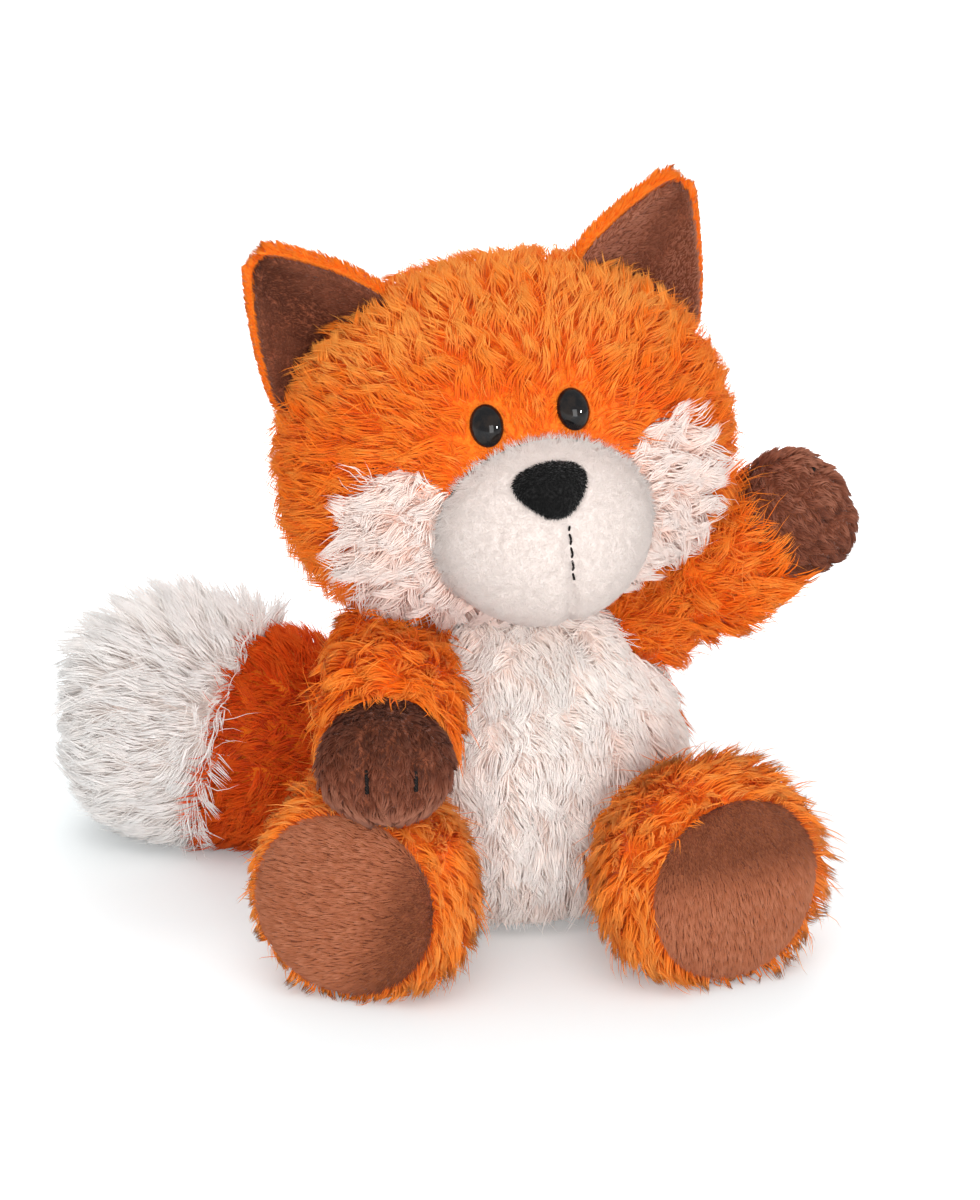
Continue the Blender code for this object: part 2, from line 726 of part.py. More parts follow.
def build_head(model):
    """The head's skins and filling, with the muzzle and the cheek patches let into the head skin."""
    neck_base = Vector((0, 0, NECK_HEIGHT + SEAM_GAP / 2))
    outer_muzzle = model.cutter(
        "muzzle_opening", pose(grow(muzzle_form(), SEAM_GAP), HEAD_POSE)
    )
    head_solid = model.cutter("head_outside", pose(grow(head_form(), SEAM_GAP), HEAD_POSE))
    cheeks = {side: cheek_cutters(model, side) for side in (LEFT, RIGHT)}
    holes, washer_rooms = build_eyes(model)

    form = pose(head_form(), HEAD_POSE)
    trim(form, neck_base, -UP, close=False)
    head = model.piece("head_skin", form, "orange_plush", "neck")
    skin_over(head)
    combine(head, "DIFFERENCE", outer_muzzle, cheeks[LEFT][1], cheeks[RIGHT][1], *holes)

    for side in (LEFT, RIGHT):
        form = pose(head_form(), HEAD_POSE)
        trim(form, neck_base, -UP, close=False)
        patch = model.piece(f"cheek_patch_{SIDE_NAMES[side]}", form, "white_plush", "neck")
        skin_over(patch)
        combine(patch, "INTERSECT", cheeks[side][0])
        combine(patch, "DIFFERENCE", outer_muzzle)

    muzzle = model.piece("muzzle_skin", pose(muzzle_form(), HEAD_POSE), "muzzle_plush", "neck")
    hollow = model.cutter(
        "muzzle_hollow", pose(grow(muzzle_form(), -SKIN_THICKNESS), HEAD_POSE)
    )
    combine(muzzle, "DIFFERENCE", hollow, head_solid)

    filling = head_form(FILLING_STEPS, FILLING_RINGS)
    pose(grow(filling, filling_inset(HEAD_HALF_WIDTH)), HEAD_POSE)
    trim(filling, neck_base, -UP)
    filling = model.piece("head_filling", filling, "fibre_filling", "neck")
    stuffed_muzzle = muzzle_form(FILLING_STEPS, FILLING_RINGS)
    pose(grow(stuffed_muzzle, filling_inset(MUZZLE_HALF_WIDTH)), HEAD_POSE)
    stuffed_muzzle = model.cutter("muzzle_stuffing", stuffed_muzzle)
    combine(filling, "UNION", stuffed_muzzle)
    combine(filling, "DIFFERENCE", *washer_rooms)
    return head_solid


def cheek_cutters(model, side):
    """The shapes that cut a cheek patch out of the head skin, and its opening there."""
    cutters = []
    for label, clearance in (("outline", -SEAM_GAP / 2), ("opening", SEAM_GAP / 2)):
        half_sizes = (CHEEK_HALF_WIDTH, CHEEK_HALF_DEPTH, CHEEK_HALF_HEIGHT)
        form = grow(ball(half_sizes, ELLIPSOID_FULLNESS, CHEEK_STEPS, CHEEK_RINGS), clearance)
        place = (side * CHEEK_SIDE, -CHEEK_FORWARD, -CHEEK_DROP)
        bmesh.ops.translate(form, vec=place, verts=form.verts)
        cutters.append(model.cutter(f"cheek_{label}_{SIDE_NAMES[side]}", pose(form, HEAD_POSE)))
    return cutters


def build_eyes(model):
    """Domed oval eyes, each on a shank through the skin that a washer locks from inside."""
    surface = head_form()
    holes, rooms = [], []
    for side in (LEFT, RIGHT):
        name = SIDE_NAMES[side]
        start = Vector((side * EYE_SPACING / 2, -CUTTER_REACH - HEAD_HALF_DEPTH, EYE_RAISE))
        place, normal = surface_hit(surface, start, -FORWARD)
        frame = HEAD_POSE @ aim(place, normal)
        model.piece(f"eye_{name}", pose(eye_form(), frame), "black_gloss", "neck")
        washer = model.piece(f"eye_washer_{name}", washer_section(), "washer_plastic", "neck", frame)
        screw(washer)
        hole = drill(Vector(), UP, SHANK_RADIUS + SEAM_GAP, SKIN_THICKNESS * 2, CUTTER_REACH)
        holes.append(model.cutter(f"shank_hole_{name}", pose(hole, frame)))
        depth = SHANK_LENGTH + SEAM_GAP
        room = drill(Vector(), UP, WASHER_RADIUS + SEAM_GAP, depth, CUTTER_REACH)
        rooms.append(model.cutter(f"washer_room_{name}", pose(room, frame)))
    surface.free()
    return holes, rooms


def eye_form():
    """An oval dome on a round shank, about the point where it stands on the skin."""
    profile = [(0, -SHANK_LENGTH), (SHANK_RADIUS, -SHANK_LENGTH), (SHANK_RADIUS, SEAM_GAP)]
    rim = len(profile)
    profile.append((EYE_HALF_WIDTH, SEAM_GAP))
    for ring in range(1, EYE_RINGS + 1):
        angle = math.pi / 2 * ring / EYE_RINGS
        radius = EYE_HALF_WIDTH * math.cos(angle) if ring < EYE_RINGS else 0
        profile.append((radius, SEAM_GAP + EYE_DOME * math.sin(angle)))
    form = turned(profile, EYE_STEPS)
    lowest = profile[rim][1]
    for vert in form.verts:
        if vert.co.z >= lowest and vert.co.xy.length > SHANK_RADIUS + WELD_DISTANCE:
            vert.co.y *= EYE_HALF_HEIGHT / EYE_HALF_WIDTH
    return form


def washer_section():
    """The closed section of a flat ring round the shank, under the skin."""
    inner = SHANK_RADIUS + SEAM_GAP
    top = -SKIN_THICKNESS - WASHER_DEPTH
    base = top - WASHER_THICKNESS
    form = bmesh.new()
    corners = ((inner, top), (WASHER_RADIUS, top), (WASHER_RADIUS, base), (inner, base))
    points = [form.verts.new((radius, 0, height)) for radius, height in corners]
    for pair in zip(points, points[1:] + points[:1]):
        form.edges.new(pair)
    return form


def screw(obj):
    """Turns a section into a full ring about its own +Z."""
    modifier = obj.modifiers.new("turn", "SCREW")
    modifier.axis = "Z"
    modifier.angle = math.tau
    modifier.steps = EYE_STEPS
    modifier.render_steps = EYE_STEPS
    modifier.use_merge_vertices = True
    modifier.merge_threshold = WELD_DISTANCE


def build_nose(model):
    """A padded nose over the top of the muzzle, and the mouth thread below it."""
    surface = muzzle_form()
    start = Vector((0, -MUZZLE_FORWARD, NOSE_RAISE - MUZZLE_DROP))
    ahead = start + FORWARD * CUTTER_REACH
    place, normal = surface_hit(surface, ahead, -FORWARD)
    frame = aim(place, normal)
    outline = nose_outline()
    cutter = model.cutter("nose_outline", pose(outline, HEAD_POSE @ frame))
    backing = model.cutter("nose_backing", pose(grow(muzzle_form(), SEAM_GAP), HEAD_POSE))
    pad = pose(grow(muzzle_form(), SEAM_GAP + NOSE_THICKNESS), HEAD_POSE)
    nose = model.piece("nose", pad, "black_velvet", "neck")
    combine(nose, "DIFFERENCE", backing)
    combine(nose, "INTERSECT", cutter)

    thread = grow(surface, SEAM_GAP + THREAD_RADIUS)
    top = start.z - NOSE_HALF_HEIGHT - MOUTH_TOP_DROP - THREAD_RADIUS
    points = []
    for index in range(THREAD_POINTS):
        height = top - MOUTH_LENGTH * index / (THREAD_POINTS - 1)
        ahead = Vector((0, -MUZZLE_FORWARD - CUTTER_REACH, height))
        points.append(HEAD_POSE @ surface_hit(thread, ahead, -FORWARD)[0])
    thread.free()
    model.thread("mouth_stitch", points, "neck")


def nose_outline():
    """A prism of the nose's rounded triangle, wide at the top."""
    form = bmesh.new()
    bmesh.ops.create_cone(
        form,
        cap_ends=True,
        segments=NOSE_POINTS,
        radius1=UNIT,
        radius2=UNIT,
        depth=2 * UNIT,
    )
    for vert in form.verts:
        height = vert.co.y
        narrowing = 1 - NOSE_NARROWING_SHARE * smooth((1 - height) / 2)
        vert.co.x *= NOSE_HALF_WIDTH * narrowing
        vert.co.y *= NOSE_HALF_HEIGHT
        vert.co.z *= NOSE_HALF_WIDTH
    return form


def ear_sheet(side, front, margin):
    """One layer of an ear as an open cupped sheet, front of the ear's middle surface by a distance."""
    form = bmesh.new()
    bmesh.ops.create_grid(form, x_segments=EAR_ACROSS, y_segments=EAR_UP, size=UNIT)
    total = EAR_HEIGHT + EAR_ROOT_DEPTH
    for vert in form.verts:
        across, up = vert.co.x, (vert.co.y + 1) / 2
        height = up * (total - margin) - EAR_ROOT_DEPTH
        share = min(max(height / (EAR_HEIGHT - margin), 0), 1)
        tip = EAR_TIP_WIDTH / 2
        swell = (1 - share**EAR_SHOULDER_FULLNESS) ** EAR_TIP_FULLNESS
        half = tip + (EAR_WIDTH / 2 - tip) * swell - margin / 2
        shift = -EAR_TIP_SHIFT * share
        cup = EAR_CUP * (1 - across * across) * (1 - EAR_CUP_FADE_SHARE * share)
        vert.co = Vector((across * half + shift, cup - front, height))
    lean = Matrix.Rotation(EAR_SLANT, 4, "Y") @ Matrix.Rotation(EAR_OUTWARD, 4, "Z")
    bmesh.ops.transform(form, matrix=lean, verts=form.verts)
    bmesh.ops.translate(form, vec=(EAR_SIDE, EAR_BACK, EAR_RAISE), verts=form.verts)
    if side == RIGHT:
        bmesh.ops.scale(form, vec=(-1, 1, 1), verts=form.verts)
        bmesh.ops.reverse_faces(form, faces=form.faces)
    return pose(form, HEAD_POSE)


def build_ears(model, head_solid):
    """Each ear's orange back and brown inner panel, cut to stand on the head."""
    layers = (
        ("ear_back", "orange_plush", 0, 0, EAR_BACK_THICKNESS, -1),
        ("ear_inner", "brown_plush", SEAM_GAP, EAR_INNER_MARGIN, EAR_INNER_THICKNESS, 1),
    )
    for side in (LEFT, RIGHT):
        for label, material, front, margin, thickness, offset in layers:
            form = ear_sheet(side, front, margin)
            ear = model.piece(f"{label}_{SIDE_NAMES[side]}", form, material, "neck")
            modifier = ear.modifiers.new("plush", "SOLIDIFY")
            modifier.thickness = thickness
            modifier.offset = offset
            combine(ear, "DIFFERENCE", head_solid)


def main():
    model = Model()
    model.add_joints()
    build_body(model)
    head_solid = build_head(model)
    build_nose(model)
    build_ears(model, head_solid)
    for side in (LEFT, RIGHT):
        build_arm(model, side)
        build_leg(model, side)
    build_tail(model)


main()
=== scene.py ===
"""A seated plush fox with shaggy orange and white fur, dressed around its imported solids.

The classes hold their sizes in millimetres and their meshes are in metres. The fox faces -Y and sits on
the plane Z = 0. Left and right are the fox's own, so its left is at +X.
"""

import logging
import math
from collections.abc import Callable, Sequence
from dataclasses import dataclass, replace
from enum import Enum
from functools import cache, partial

import bmesh
import bpy
import numpy as np
from bmesh.types import BMesh
from mathutils import Matrix, Vector
from mathutils.bvhtree import BVHTree
from mathutils.kdtree import KDTree


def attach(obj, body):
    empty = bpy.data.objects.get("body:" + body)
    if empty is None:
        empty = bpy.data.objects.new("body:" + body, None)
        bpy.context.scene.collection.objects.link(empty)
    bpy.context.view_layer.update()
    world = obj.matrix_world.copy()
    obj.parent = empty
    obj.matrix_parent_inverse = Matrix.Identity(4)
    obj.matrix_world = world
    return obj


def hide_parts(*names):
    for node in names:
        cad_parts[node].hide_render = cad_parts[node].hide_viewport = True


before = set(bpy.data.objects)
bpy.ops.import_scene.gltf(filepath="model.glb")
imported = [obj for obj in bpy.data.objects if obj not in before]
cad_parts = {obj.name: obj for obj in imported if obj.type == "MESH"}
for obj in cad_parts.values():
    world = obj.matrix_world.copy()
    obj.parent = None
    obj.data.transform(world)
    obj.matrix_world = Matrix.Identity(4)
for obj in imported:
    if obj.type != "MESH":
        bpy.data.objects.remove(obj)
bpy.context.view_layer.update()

MM = 0.001
UP = Vector((0, 0, 1))
FORWARD = Vector((0, -1, 0))
DOWN = np.array((0.0, 0.0, -1.0))
WELD = 0.001 * MM
SKIN_THICKNESS = 1.6
SEAM_GAP = 0.3
SEAT_GAP = 0.5
STRAND_MAP = "strand"
EXPORT_MAP = "OFBake"

Array = np.ndarray
Size = tuple[float, float, float]
Colour = tuple[float, float, float]
Value = "Signal | float | Sequence[float]"

log = logging.getLogger("plush_fox")


class Side(Enum):
    """The fox's own left and right."""

    LEFT = 1
    RIGHT = -1

    @property
    def label(self) -> str:
        """The word that ends the names of this side's pieces."""
        return self.name.lower()


# Shader maths


class Signal:
    """A node's output that takes part in Python expressions, each of which adds its Math node."""

    def __init__(self, graph: "Graph", socket: bpy.types.NodeSocket) -> None:
        """Wraps an output of a graph's node."""
        self.graph = graph
        self.socket = socket

    def _with(self, operation: str, *values: "Value") -> "Signal":
        """Runs a Math node on values in order."""
        return self.graph.node("ShaderNodeMath", {"operation": operation}, *values)

    def __add__(self, other: "Value") -> "Signal":
        """This plus other."""
        return self._with("ADD", self, other)

    def __radd__(self, other: "Value") -> "Signal":
        """Other plus this."""
        return self._with("ADD", other, self)

    def __sub__(self, other: "Value") -> "Signal":
        """This less other."""
        return self._with("SUBTRACT", self, other)

    def __rsub__(self, other: "Value") -> "Signal":
        """Other less this."""
        return self._with("SUBTRACT", other, self)

    def __mul__(self, other: "Value") -> "Signal":
        """This times other."""
        return self._with("MULTIPLY", self, other)

    def __rmul__(self, other: "Value") -> "Signal":
        """Other times this."""
        return self._with("MULTIPLY", other, self)

    def most(self, other: "Signal") -> "Signal":
        """The greater of this and other."""
        return self._with("MAXIMUM", self, other)

    def between(self, low: float, high: float) -> "Signal":
        """Eases from 0 where this is low to 1 where it is high."""
        settings = {"interpolation_type": "SMOOTHSTEP"}
        return self.graph.node("ShaderNodeMapRange", settings, self, low, high)


class Graph:
    """The nodes of one material or world, from its first ones to a finished surface."""

    MIX_COLOURS = 6

    def __init__(
        self, owner: bpy.types.Material | bpy.types.World, surface: str = "Principled BSDF"
    ) -> None:
        """Starts from the nodes that a new material or world has.

        Args:
            owner: The material or world.
            surface: The name of its node that makes the surface.
        """
        owner.use_nodes = True
        self.owner = owner
        self.tree = owner.node_tree
        self.surface = self.tree.nodes[surface]

    def node(self, kind: str, settings: dict, *values: "Value | None", **named: "Value") -> Signal:
        """Adds any node.

        Args:
            kind: The node's type.
            settings: Its own settings, and a ramp's stops under "stops".
            values: Its inputs in order, with None for each that stays as it is.
            named: Its inputs by name, or its wanted output's name or number under "out".

        Returns:
            The wanted output, which is the first unless it is named.
        """
        made = self.tree.nodes.new(kind)
        for key, value in settings.items():
            if key == "stops":
                self._set_stops(made.color_ramp, value)
            else:
                setattr(made, key, value)
        out = named.pop("out", None)
        for key, value in [*enumerate(values), *named.items()]:
            self.feed(made.inputs[key], value)
        return Signal(self, made.outputs[out or 0])

    def _set_stops(self, ramp: bpy.types.ColorRamp, stops: Sequence[tuple[float, Colour]]) -> None:
        """Gives a ramp its colours.

        Args:
            ramp: The ramp of a new node, which has two stops.
            stops: Each stop's place and colour.
        """
        for _ in stops[2:]:
            ramp.elements.new(0.5)
        for element, (place, colour) in zip(ramp.elements, stops):
            element.position = place
            element.color = (*colour, 1)

    def feed(self, socket: bpy.types.NodeSocket, value: "Value | None") -> None:
        """Links or sets an input.

        Args:
            socket: The input.
            value: A signal to link, a number, colour or vector to set, or None to leave it alone.
        """
        if value is None:
            return
        if isinstance(value, Signal):
            self.tree.links.new(value.socket, socket)
        elif socket.type == "RGBA":
            socket.default_value = (*value, 1)
        else:
            socket.default_value = value

    def mix(self, share: "Value", first: "Value", second: "Value") -> Signal:
        """A colour that is the first where the share is 0 and the second where it is 1."""
        skipped = [None] * (self.MIX_COLOURS - 1)
        return self.node("ShaderNodeMix", {"data_type": "RGBA"}, share, *skipped, first, second, out=2)

    def place(self, stretch: Sequence[float] = (1, 1, 1)) -> Signal:
        """Object coordinates in millimetres, with a pattern finer by a share along each axis."""
        raw = self.node("ShaderNodeTexCoord", {}, out="Object")
        return self.node("ShaderNodeMapping", {}, Vector=raw, Scale=[share / MM for share in stretch])

    def noise(self, place: Signal, scale: float, detail: float, **more: "Value") -> Signal:
        """Noise from 0 to 1 at a place, of a fineness, with finer layers and other inputs by name."""
        return self.node("ShaderNodeTexNoise", {}, Vector=place, Scale=scale, Detail=detail, **more)

    def bump(self, height: Signal, depth: float) -> Signal:
        """The normal of a surface raised by a height, where 1 stands for depth in millimetres."""
        return self.node("ShaderNodeBump", {}, Distance=depth * MM, Height=height, Strength=1.0)

    def finish(self, **inputs: "Value") -> bpy.types.ID:
        """Feeds the surface.

        Args:
            inputs: The surface node's inputs, with spaces written as underscores.

        Returns:
            The finished material or world.
        """
        for name, value in inputs.items():
            self.feed(self.surface.inputs[name.replace("_", " ")], value)
        return self.owner


# Finishes


@dataclass(frozen=True)
class Finish:
    """A named finish, whose material is made once."""

    name: str

    @cache
    def material(self) -> bpy.types.Material:
        """The finish's one material, which is made when it is first asked for."""
        return self.dress(Graph(bpy.data.materials.new(self.name)))

    def dress(self, graph: Graph) -> bpy.types.Material:
        """Makes a plain look, which each kind of finish replaces with its own."""
        return graph.finish(Roughness=0.8)


@dataclass(frozen=True)
class FurFinish(Finish):
    """Dyed pile, which reads its tone across the strand map and root to tip up it, with painted shade at the
    root and a painted highlight at the tip.
    """

    # root is painted shade at the foot of each lock; light is also the tips' painted highlight
    root: Colour
    shade: Colour
    body: Colour
    light: Colour
    tip_share: float = 0.3
    sheen: float = 0.05
    gloss: float = 0.06

    def dress(self, graph: Graph) -> bpy.types.Material:
        """Makes the pile's look, with painted shade at the root and a painted highlight at the tip.

        Args:
            graph: The nodes of a new material.

        Returns:
            The material.
        """
        both = graph.node("ShaderNodeUVMap", {"uv_map": STRAND_MAP})
        tone = graph.node("ShaderNodeSeparateXYZ", {}, both, out="X")
        along = graph.node("ShaderNodeSeparateXYZ", {}, both, out="Y")
        stops = ((0.0, self.shade), (0.55, self.body), (1.0, self.light))
        dye_and_painted_light = graph.node("ShaderNodeValToRGB", {"stops": stops}, tone)
        # Painted shade: the lower part of each lock turns to the root colour
        with_painted_root_shade = graph.mix(along.between(0.0, 0.6), self.root, dye_and_painted_light)
        return graph.finish(
            # Painted highlight: the tips turn towards the light colour
            Base_Color=graph.mix(along.between(0.55, 1.0) * self.tip_share, with_painted_root_shade, self.light),
            Roughness=0.75,
            Specular_IOR_Level=self.gloss,
            Sheen_Weight=self.sheen,
            Sheen_Roughness=0.5,
        )


@dataclass(frozen=True)
class BackingFinish(Finish):
    """The plush's knitted backing, seen between the roots of the pile, painted darker in its hollows as
    shade.
    """

    valley: Colour
    crest: Colour

    def dress(self, graph: Graph) -> bpy.types.Material:
        """Makes the backing's look, with painted shade in the hollows between the knit's bumps.

        Args:
            graph: The nodes of a new material.

        Returns:
            The material.
        """
        place = graph.place()
        roots = graph.node("ShaderNodeTexVoronoi", {}, Vector=place, Scale=1.6)
        drift = graph.noise(place, 0.12, 3)
        # The valley colour is painted shade in the knit's hollows, and partly a random drift in tone
        share = roots.between(0.1, 0.75) * 0.6 + drift.between(0.3, 0.7) * 0.4
        return graph.finish(
            Base_Color=graph.mix(share, self.crest, self.valley),
            Roughness=0.9,
            Specular_IOR_Level=0.15,
            Sheen_Weight=0.2,
            Normal=graph.bump(1 - roots, 0.25),
        )


@dataclass(frozen=True)
class EyeFinish(Finish):
    """Polished black plastic with faint brown patches of painted reflection, and hairline handling marks."""

    black: Colour = (0.004, 0.004, 0.005)
    brown: Colour = (0.016, 0.011, 0.009)

    def dress(self, graph: Graph) -> bpy.types.Material:
        """Makes the eye's look.

        Args:
            graph: The nodes of a new material.

        Returns:
            The material.
        """
        drift = graph.noise(graph.place(), 0.5, 2)
        marks = graph.noise(graph.place((1, 1, 14)), 0.9, 4)
        # The brown patches are painted reflection
        return graph.finish(
            Base_Color=graph.mix(drift.between(0.35, 0.7), self.black, self.brown),
            Roughness=0.03 + marks.between(0.55, 0.8) * 0.06,
            Specular_IOR_Level=0.2,
        )


@dataclass(frozen=True)
class ThreadFinish(Finish):
    """Twisted embroidery thread, painted lighter on the twist's ridges and darker in its grooves as shade."""

    dark: Colour
    light: Colour

    def dress(self, graph: Graph) -> bpy.types.Material:
        """Makes the thread's look.

        Args:
            graph: The nodes of a new material.

        Returns:
            The material.
        """
        settings = {"wave_type": "BANDS", "bands_direction": "DIAGONAL"}
        twist = graph.node(
            "ShaderNodeTexWave", settings, Vector=graph.place(), Scale=0.9, Distortion=1.5
        )
        # Painted shade: the twist's grooves take the dark colour, its ridges the light one
        return graph.finish(
            Base_Color=graph.mix(twist, self.dark, self.light),
            Roughness=0.8,
            Specular_IOR_Level=0.1,
            Normal=graph.bump(twist, 0.12),
        )


@dataclass(frozen=True)
class FillingFinish(Finish):
    """Loose polyester fibre, in soft clouds with crossing hairs, painted darker in its hollows as shade."""

    hollow: Colour = (0.62, 0.62, 0.6)
    crest: Colour = (0.9, 0.9, 0.88)

    def dress(self, graph: Graph) -> bpy.types.Material:
        """Makes the filling's look, with painted shade in the hollows.

        Args:
            graph: The nodes of a new material.

        Returns:
            The material.
        """
        clouds = graph.noise(graph.place(), 0.18, 4)
        hairs = graph.noise(graph.place((3, 0.3, 0.3)), 0.9, 3, Distortion=1.5)
        # Painted shade: the hollow colour where the bump is low
        share = clouds.between(0.3, 0.7) * 0.6 + hairs.between(0.45, 0.65) * 0.4
        return graph.finish(
            Base_Color=graph.mix(share, self.hollow, self.crest),
            Roughness=0.95,
            Sheen_Weight=0.3,
            Normal=graph.bump(share, 0.8),
        )


@dataclass(frozen=True)
class MouldedFinish(Finish):
    """Natural nylon from a mould, milky and faintly speckled."""

    dull: Colour = (0.74, 0.74, 0.7)
    milky: Colour = (0.82, 0.82, 0.79)

    def dress(self, graph: Graph) -> bpy.types.Material:
        """Makes the moulded plastic's look.

        Args:
            graph: The nodes of a new material.

        Returns:
            The material.
        """
        speckle = graph.noise(graph.place(), 2.2, 3)
        return graph.finish(
            Base_Color=graph.mix(speckle.between(0.4, 0.7), self.dull, self.milky),
            Roughness=0.35 + speckle * 0.15,
            Normal=graph.bump(speckle, 0.03),
        )


ORANGE_FUR = FurFinish(
    "orange_fur", (0.90, 0.138, 0.006), (0.85, 0.106, 0.004), (0.93, 0.19, 0.010), (0.97, 0.37, 0.07)
)
# The orange fur painted lighter and yellower for the legs, as painted light
PAINTED_LIGHT_LEG_FUR = FurFinish(
    "leg_orange_fur", (0.92, 0.185, 0.016), (0.88, 0.15, 0.012), (0.95, 0.24, 0.022), (0.98, 0.43, 0.11)
)
# The orange fur painted darker for the tail, as painted shade
PAINTED_SHADE_TAIL_FUR = FurFinish(
    "tail_orange_fur", (0.72, 0.072, 0.005), (0.66, 0.06, 0.004), (0.82, 0.10, 0.008), (0.90, 0.22, 0.03)
)
WHITE_FUR = FurFinish(
    "white_fur", (0.985, 0.81, 0.73), (0.985, 0.69, 0.58), (0.985, 0.90, 0.85), (0.99, 0.95, 0.915), 0.5
)
CHEEK_FUR = FurFinish(
    "cheek_fur", (0.97, 0.66, 0.55), (0.96, 0.58, 0.46), (0.97, 0.80, 0.73), (0.98, 0.89, 0.85), 0.4
)
TIP_FUR = FurFinish(
    "tail_white_fur", (0.985, 0.90, 0.855), (0.985, 0.88, 0.83), (0.99, 0.94, 0.91), (0.99, 0.97, 0.955), 0.5
)
MUZZLE_FUR = FurFinish(
    "muzzle_pile", (0.80, 0.70, 0.65), (0.78, 0.67, 0.62), (0.80, 0.70, 0.655), (0.93, 0.85, 0.81), 0.2
)
SOLE_FUR = FurFinish(
    "sole_pile", (0.38, 0.12, 0.05), (0.17, 0.045, 0.02), (0.48, 0.155, 0.075), (0.66, 0.27, 0.15), 0.25
)
PAW_FUR = FurFinish(
    "paw_pile", (0.15, 0.042, 0.02), (0.075, 0.021, 0.011), (0.22, 0.064, 0.034), (0.45, 0.18, 0.11), 0.3
)
EAR_FUR = FurFinish(
    "ear_pile", (0.16, 0.048, 0.024), (0.075, 0.021, 0.011), (0.30, 0.098, 0.054), (0.46, 0.18, 0.11), 0.25
)
NOSE_FUR = FurFinish(
    "nose_pile", (0.004, 0.004, 0.004), (0.004, 0.004, 0.004), (0.007, 0.007, 0.007), (0.03, 0.03, 0.03), 0.1
)
ORANGE_BACKING = BackingFinish("orange_backing", (0.80, 0.14, 0.006), (0.92, 0.22, 0.012))
WHITE_BACKING = BackingFinish("white_backing", (0.94, 0.77, 0.70), (0.96, 0.87, 0.82))
MUZZLE_BACKING = BackingFinish("muzzle_backing", (0.75, 0.65, 0.605), (0.79, 0.695, 0.655))
BROWN_BACKING = BackingFinish("brown_backing", (0.14, 0.04, 0.018), (0.32, 0.09, 0.042))
NOSE_BACKING = BackingFinish("nose_velvet", (0.004, 0.004, 0.004), (0.014, 0.013, 0.013))
EYE_PLASTIC = EyeFinish("eye_gloss")
STITCH_THREAD = ThreadFinish("stitch_thread", (0.006, 0.005, 0.005), (0.028, 0.022, 0.02))
WASHER_PLASTIC = MouldedFinish("washer_nylon")
FIBRE_FILLING = FillingFinish("fibre_filling")


# Forms


def rising(values: Array, start: float, end: float) -> Array:
    """Eases from 0 to 1 as values go from start to end, either way.

    Args:
        values: The values.
        start: Where the share is still 0.
        end: Where it has reached 1.

    Returns:
        The eased shares.
    """
    share = np.clip((values - start) / (end - start), 0, 1)
    return share * share * (3 - 2 * share)


def unit(vectors: Array) -> Array:
    """Rows with the same directions and a length of 1."""
    return vectors / np.maximum(np.linalg.norm(vectors, axis=-1, keepdims=True), 1e-9)


def heading(side: Side, bearing: float, rise: float = 0.0) -> Vector:
    """A direction from the front.

    Args:
        side: The side that it turns to.
        bearing: Degrees outwards from straight ahead.
        rise: Degrees up.

    Returns:
        The direction.
    """
    across, up = math.radians(bearing), math.radians(rise)
    flat = math.cos(up)
    return Vector((side.value * math.sin(across) * flat, -math.cos(across) * flat, math.sin(up)))


def aim(middle: Vector, direction: Vector, roll: float = 0.0) -> Matrix:
    """Lays a form's +Z along a direction with its +Y up.

    Args:
        middle: Where the form's origin goes.
        direction: Where its +Z points.
        roll: Degrees that it turns about itself.

    Returns:
        The form's frame.
    """
    along = direction.normalized()
    across = UP.cross(along).normalized()
    turn = Matrix((across, along.cross(across), along)).transposed()
    return Matrix.Translation(middle) @ turn.to_4x4() @ Matrix.Rotation(math.radians(roll), 4, "Z")


def turn_to(direction: Vector) -> Matrix:
    """The shortest turn that lays +Z along a direction."""
    return UP.rotation_difference(direction).to_matrix().to_4x4()


def carried(frame_of: Matrix, points: Array) -> Array:
    """Rows of points carried out of a frame."""
    matrix = np.array(frame_of)
    return points @ matrix[:3, :3].T + matrix[:3, 3]


def turned_with(frame_of: Matrix, directions: Array) -> Array:
    """Rows of directions turned out of a frame."""
    return directions @ np.array(frame_of)[:3, :3].T


def swollen(rings: int, low: tuple[float, float], high: tuple[float, float]) -> list[tuple[float, float]]:
    """The outline of a ball, boxier than an ellipsoid where its fullness is over 2.

    Args:
        rings: Faces from pole to pole.
        low: The lower half's height and fullness.
        high: The upper half's height and fullness.

    Returns:
        Pairs of radius, as a share, and height above the middle.
    """
    profile = []
    for ring in range(rings + 1):
        angle = math.pi * (ring / rings - 0.5)
        half, fullness = low if angle < 0 else high
        height = math.copysign(half * abs(math.sin(angle)) ** (2 / fullness), angle)
        radius = max(math.cos(angle), 0) ** (2 / fullness) if 0 < ring < rings else 0
        profile.append((radius, height))
    return profile


def spun(profile: Sequence[tuple[float, float]], steps: int) -> BMesh:
    """A closed form turned about +Z.

    Args:
        profile: Pairs of radius and height in millimetres that start and end on the axis.
        steps: Faces round.

    Returns:
        The form, in metres.
    """
    form = bmesh.new()
    points = [form.verts.new((radius * MM, 0, height * MM)) for radius, height in profile]
    edges = [form.edges.new(pair) for pair in zip(points, points[1:])]
    geometry = points + edges
    bmesh.ops.spin(form, geom=geometry, axis=UP, angle=math.tau, steps=steps, use_merge=True)
    return welded(form)


def welded(form: BMesh) -> BMesh:
    """Joins a form's doubled points and faces it outwards.

    Args:
        form: The form.

    Returns:
        The same form.
    """
    bmesh.ops.remove_doubles(form, verts=form.verts, dist=WELD)
    bmesh.ops.recalc_face_normals(form, faces=form.faces)
    return form


def moved(form: BMesh, place: Matrix) -> BMesh:
    """Carries a form out of a frame."""
    bmesh.ops.transform(form, matrix=place, verts=form.verts)
    return form


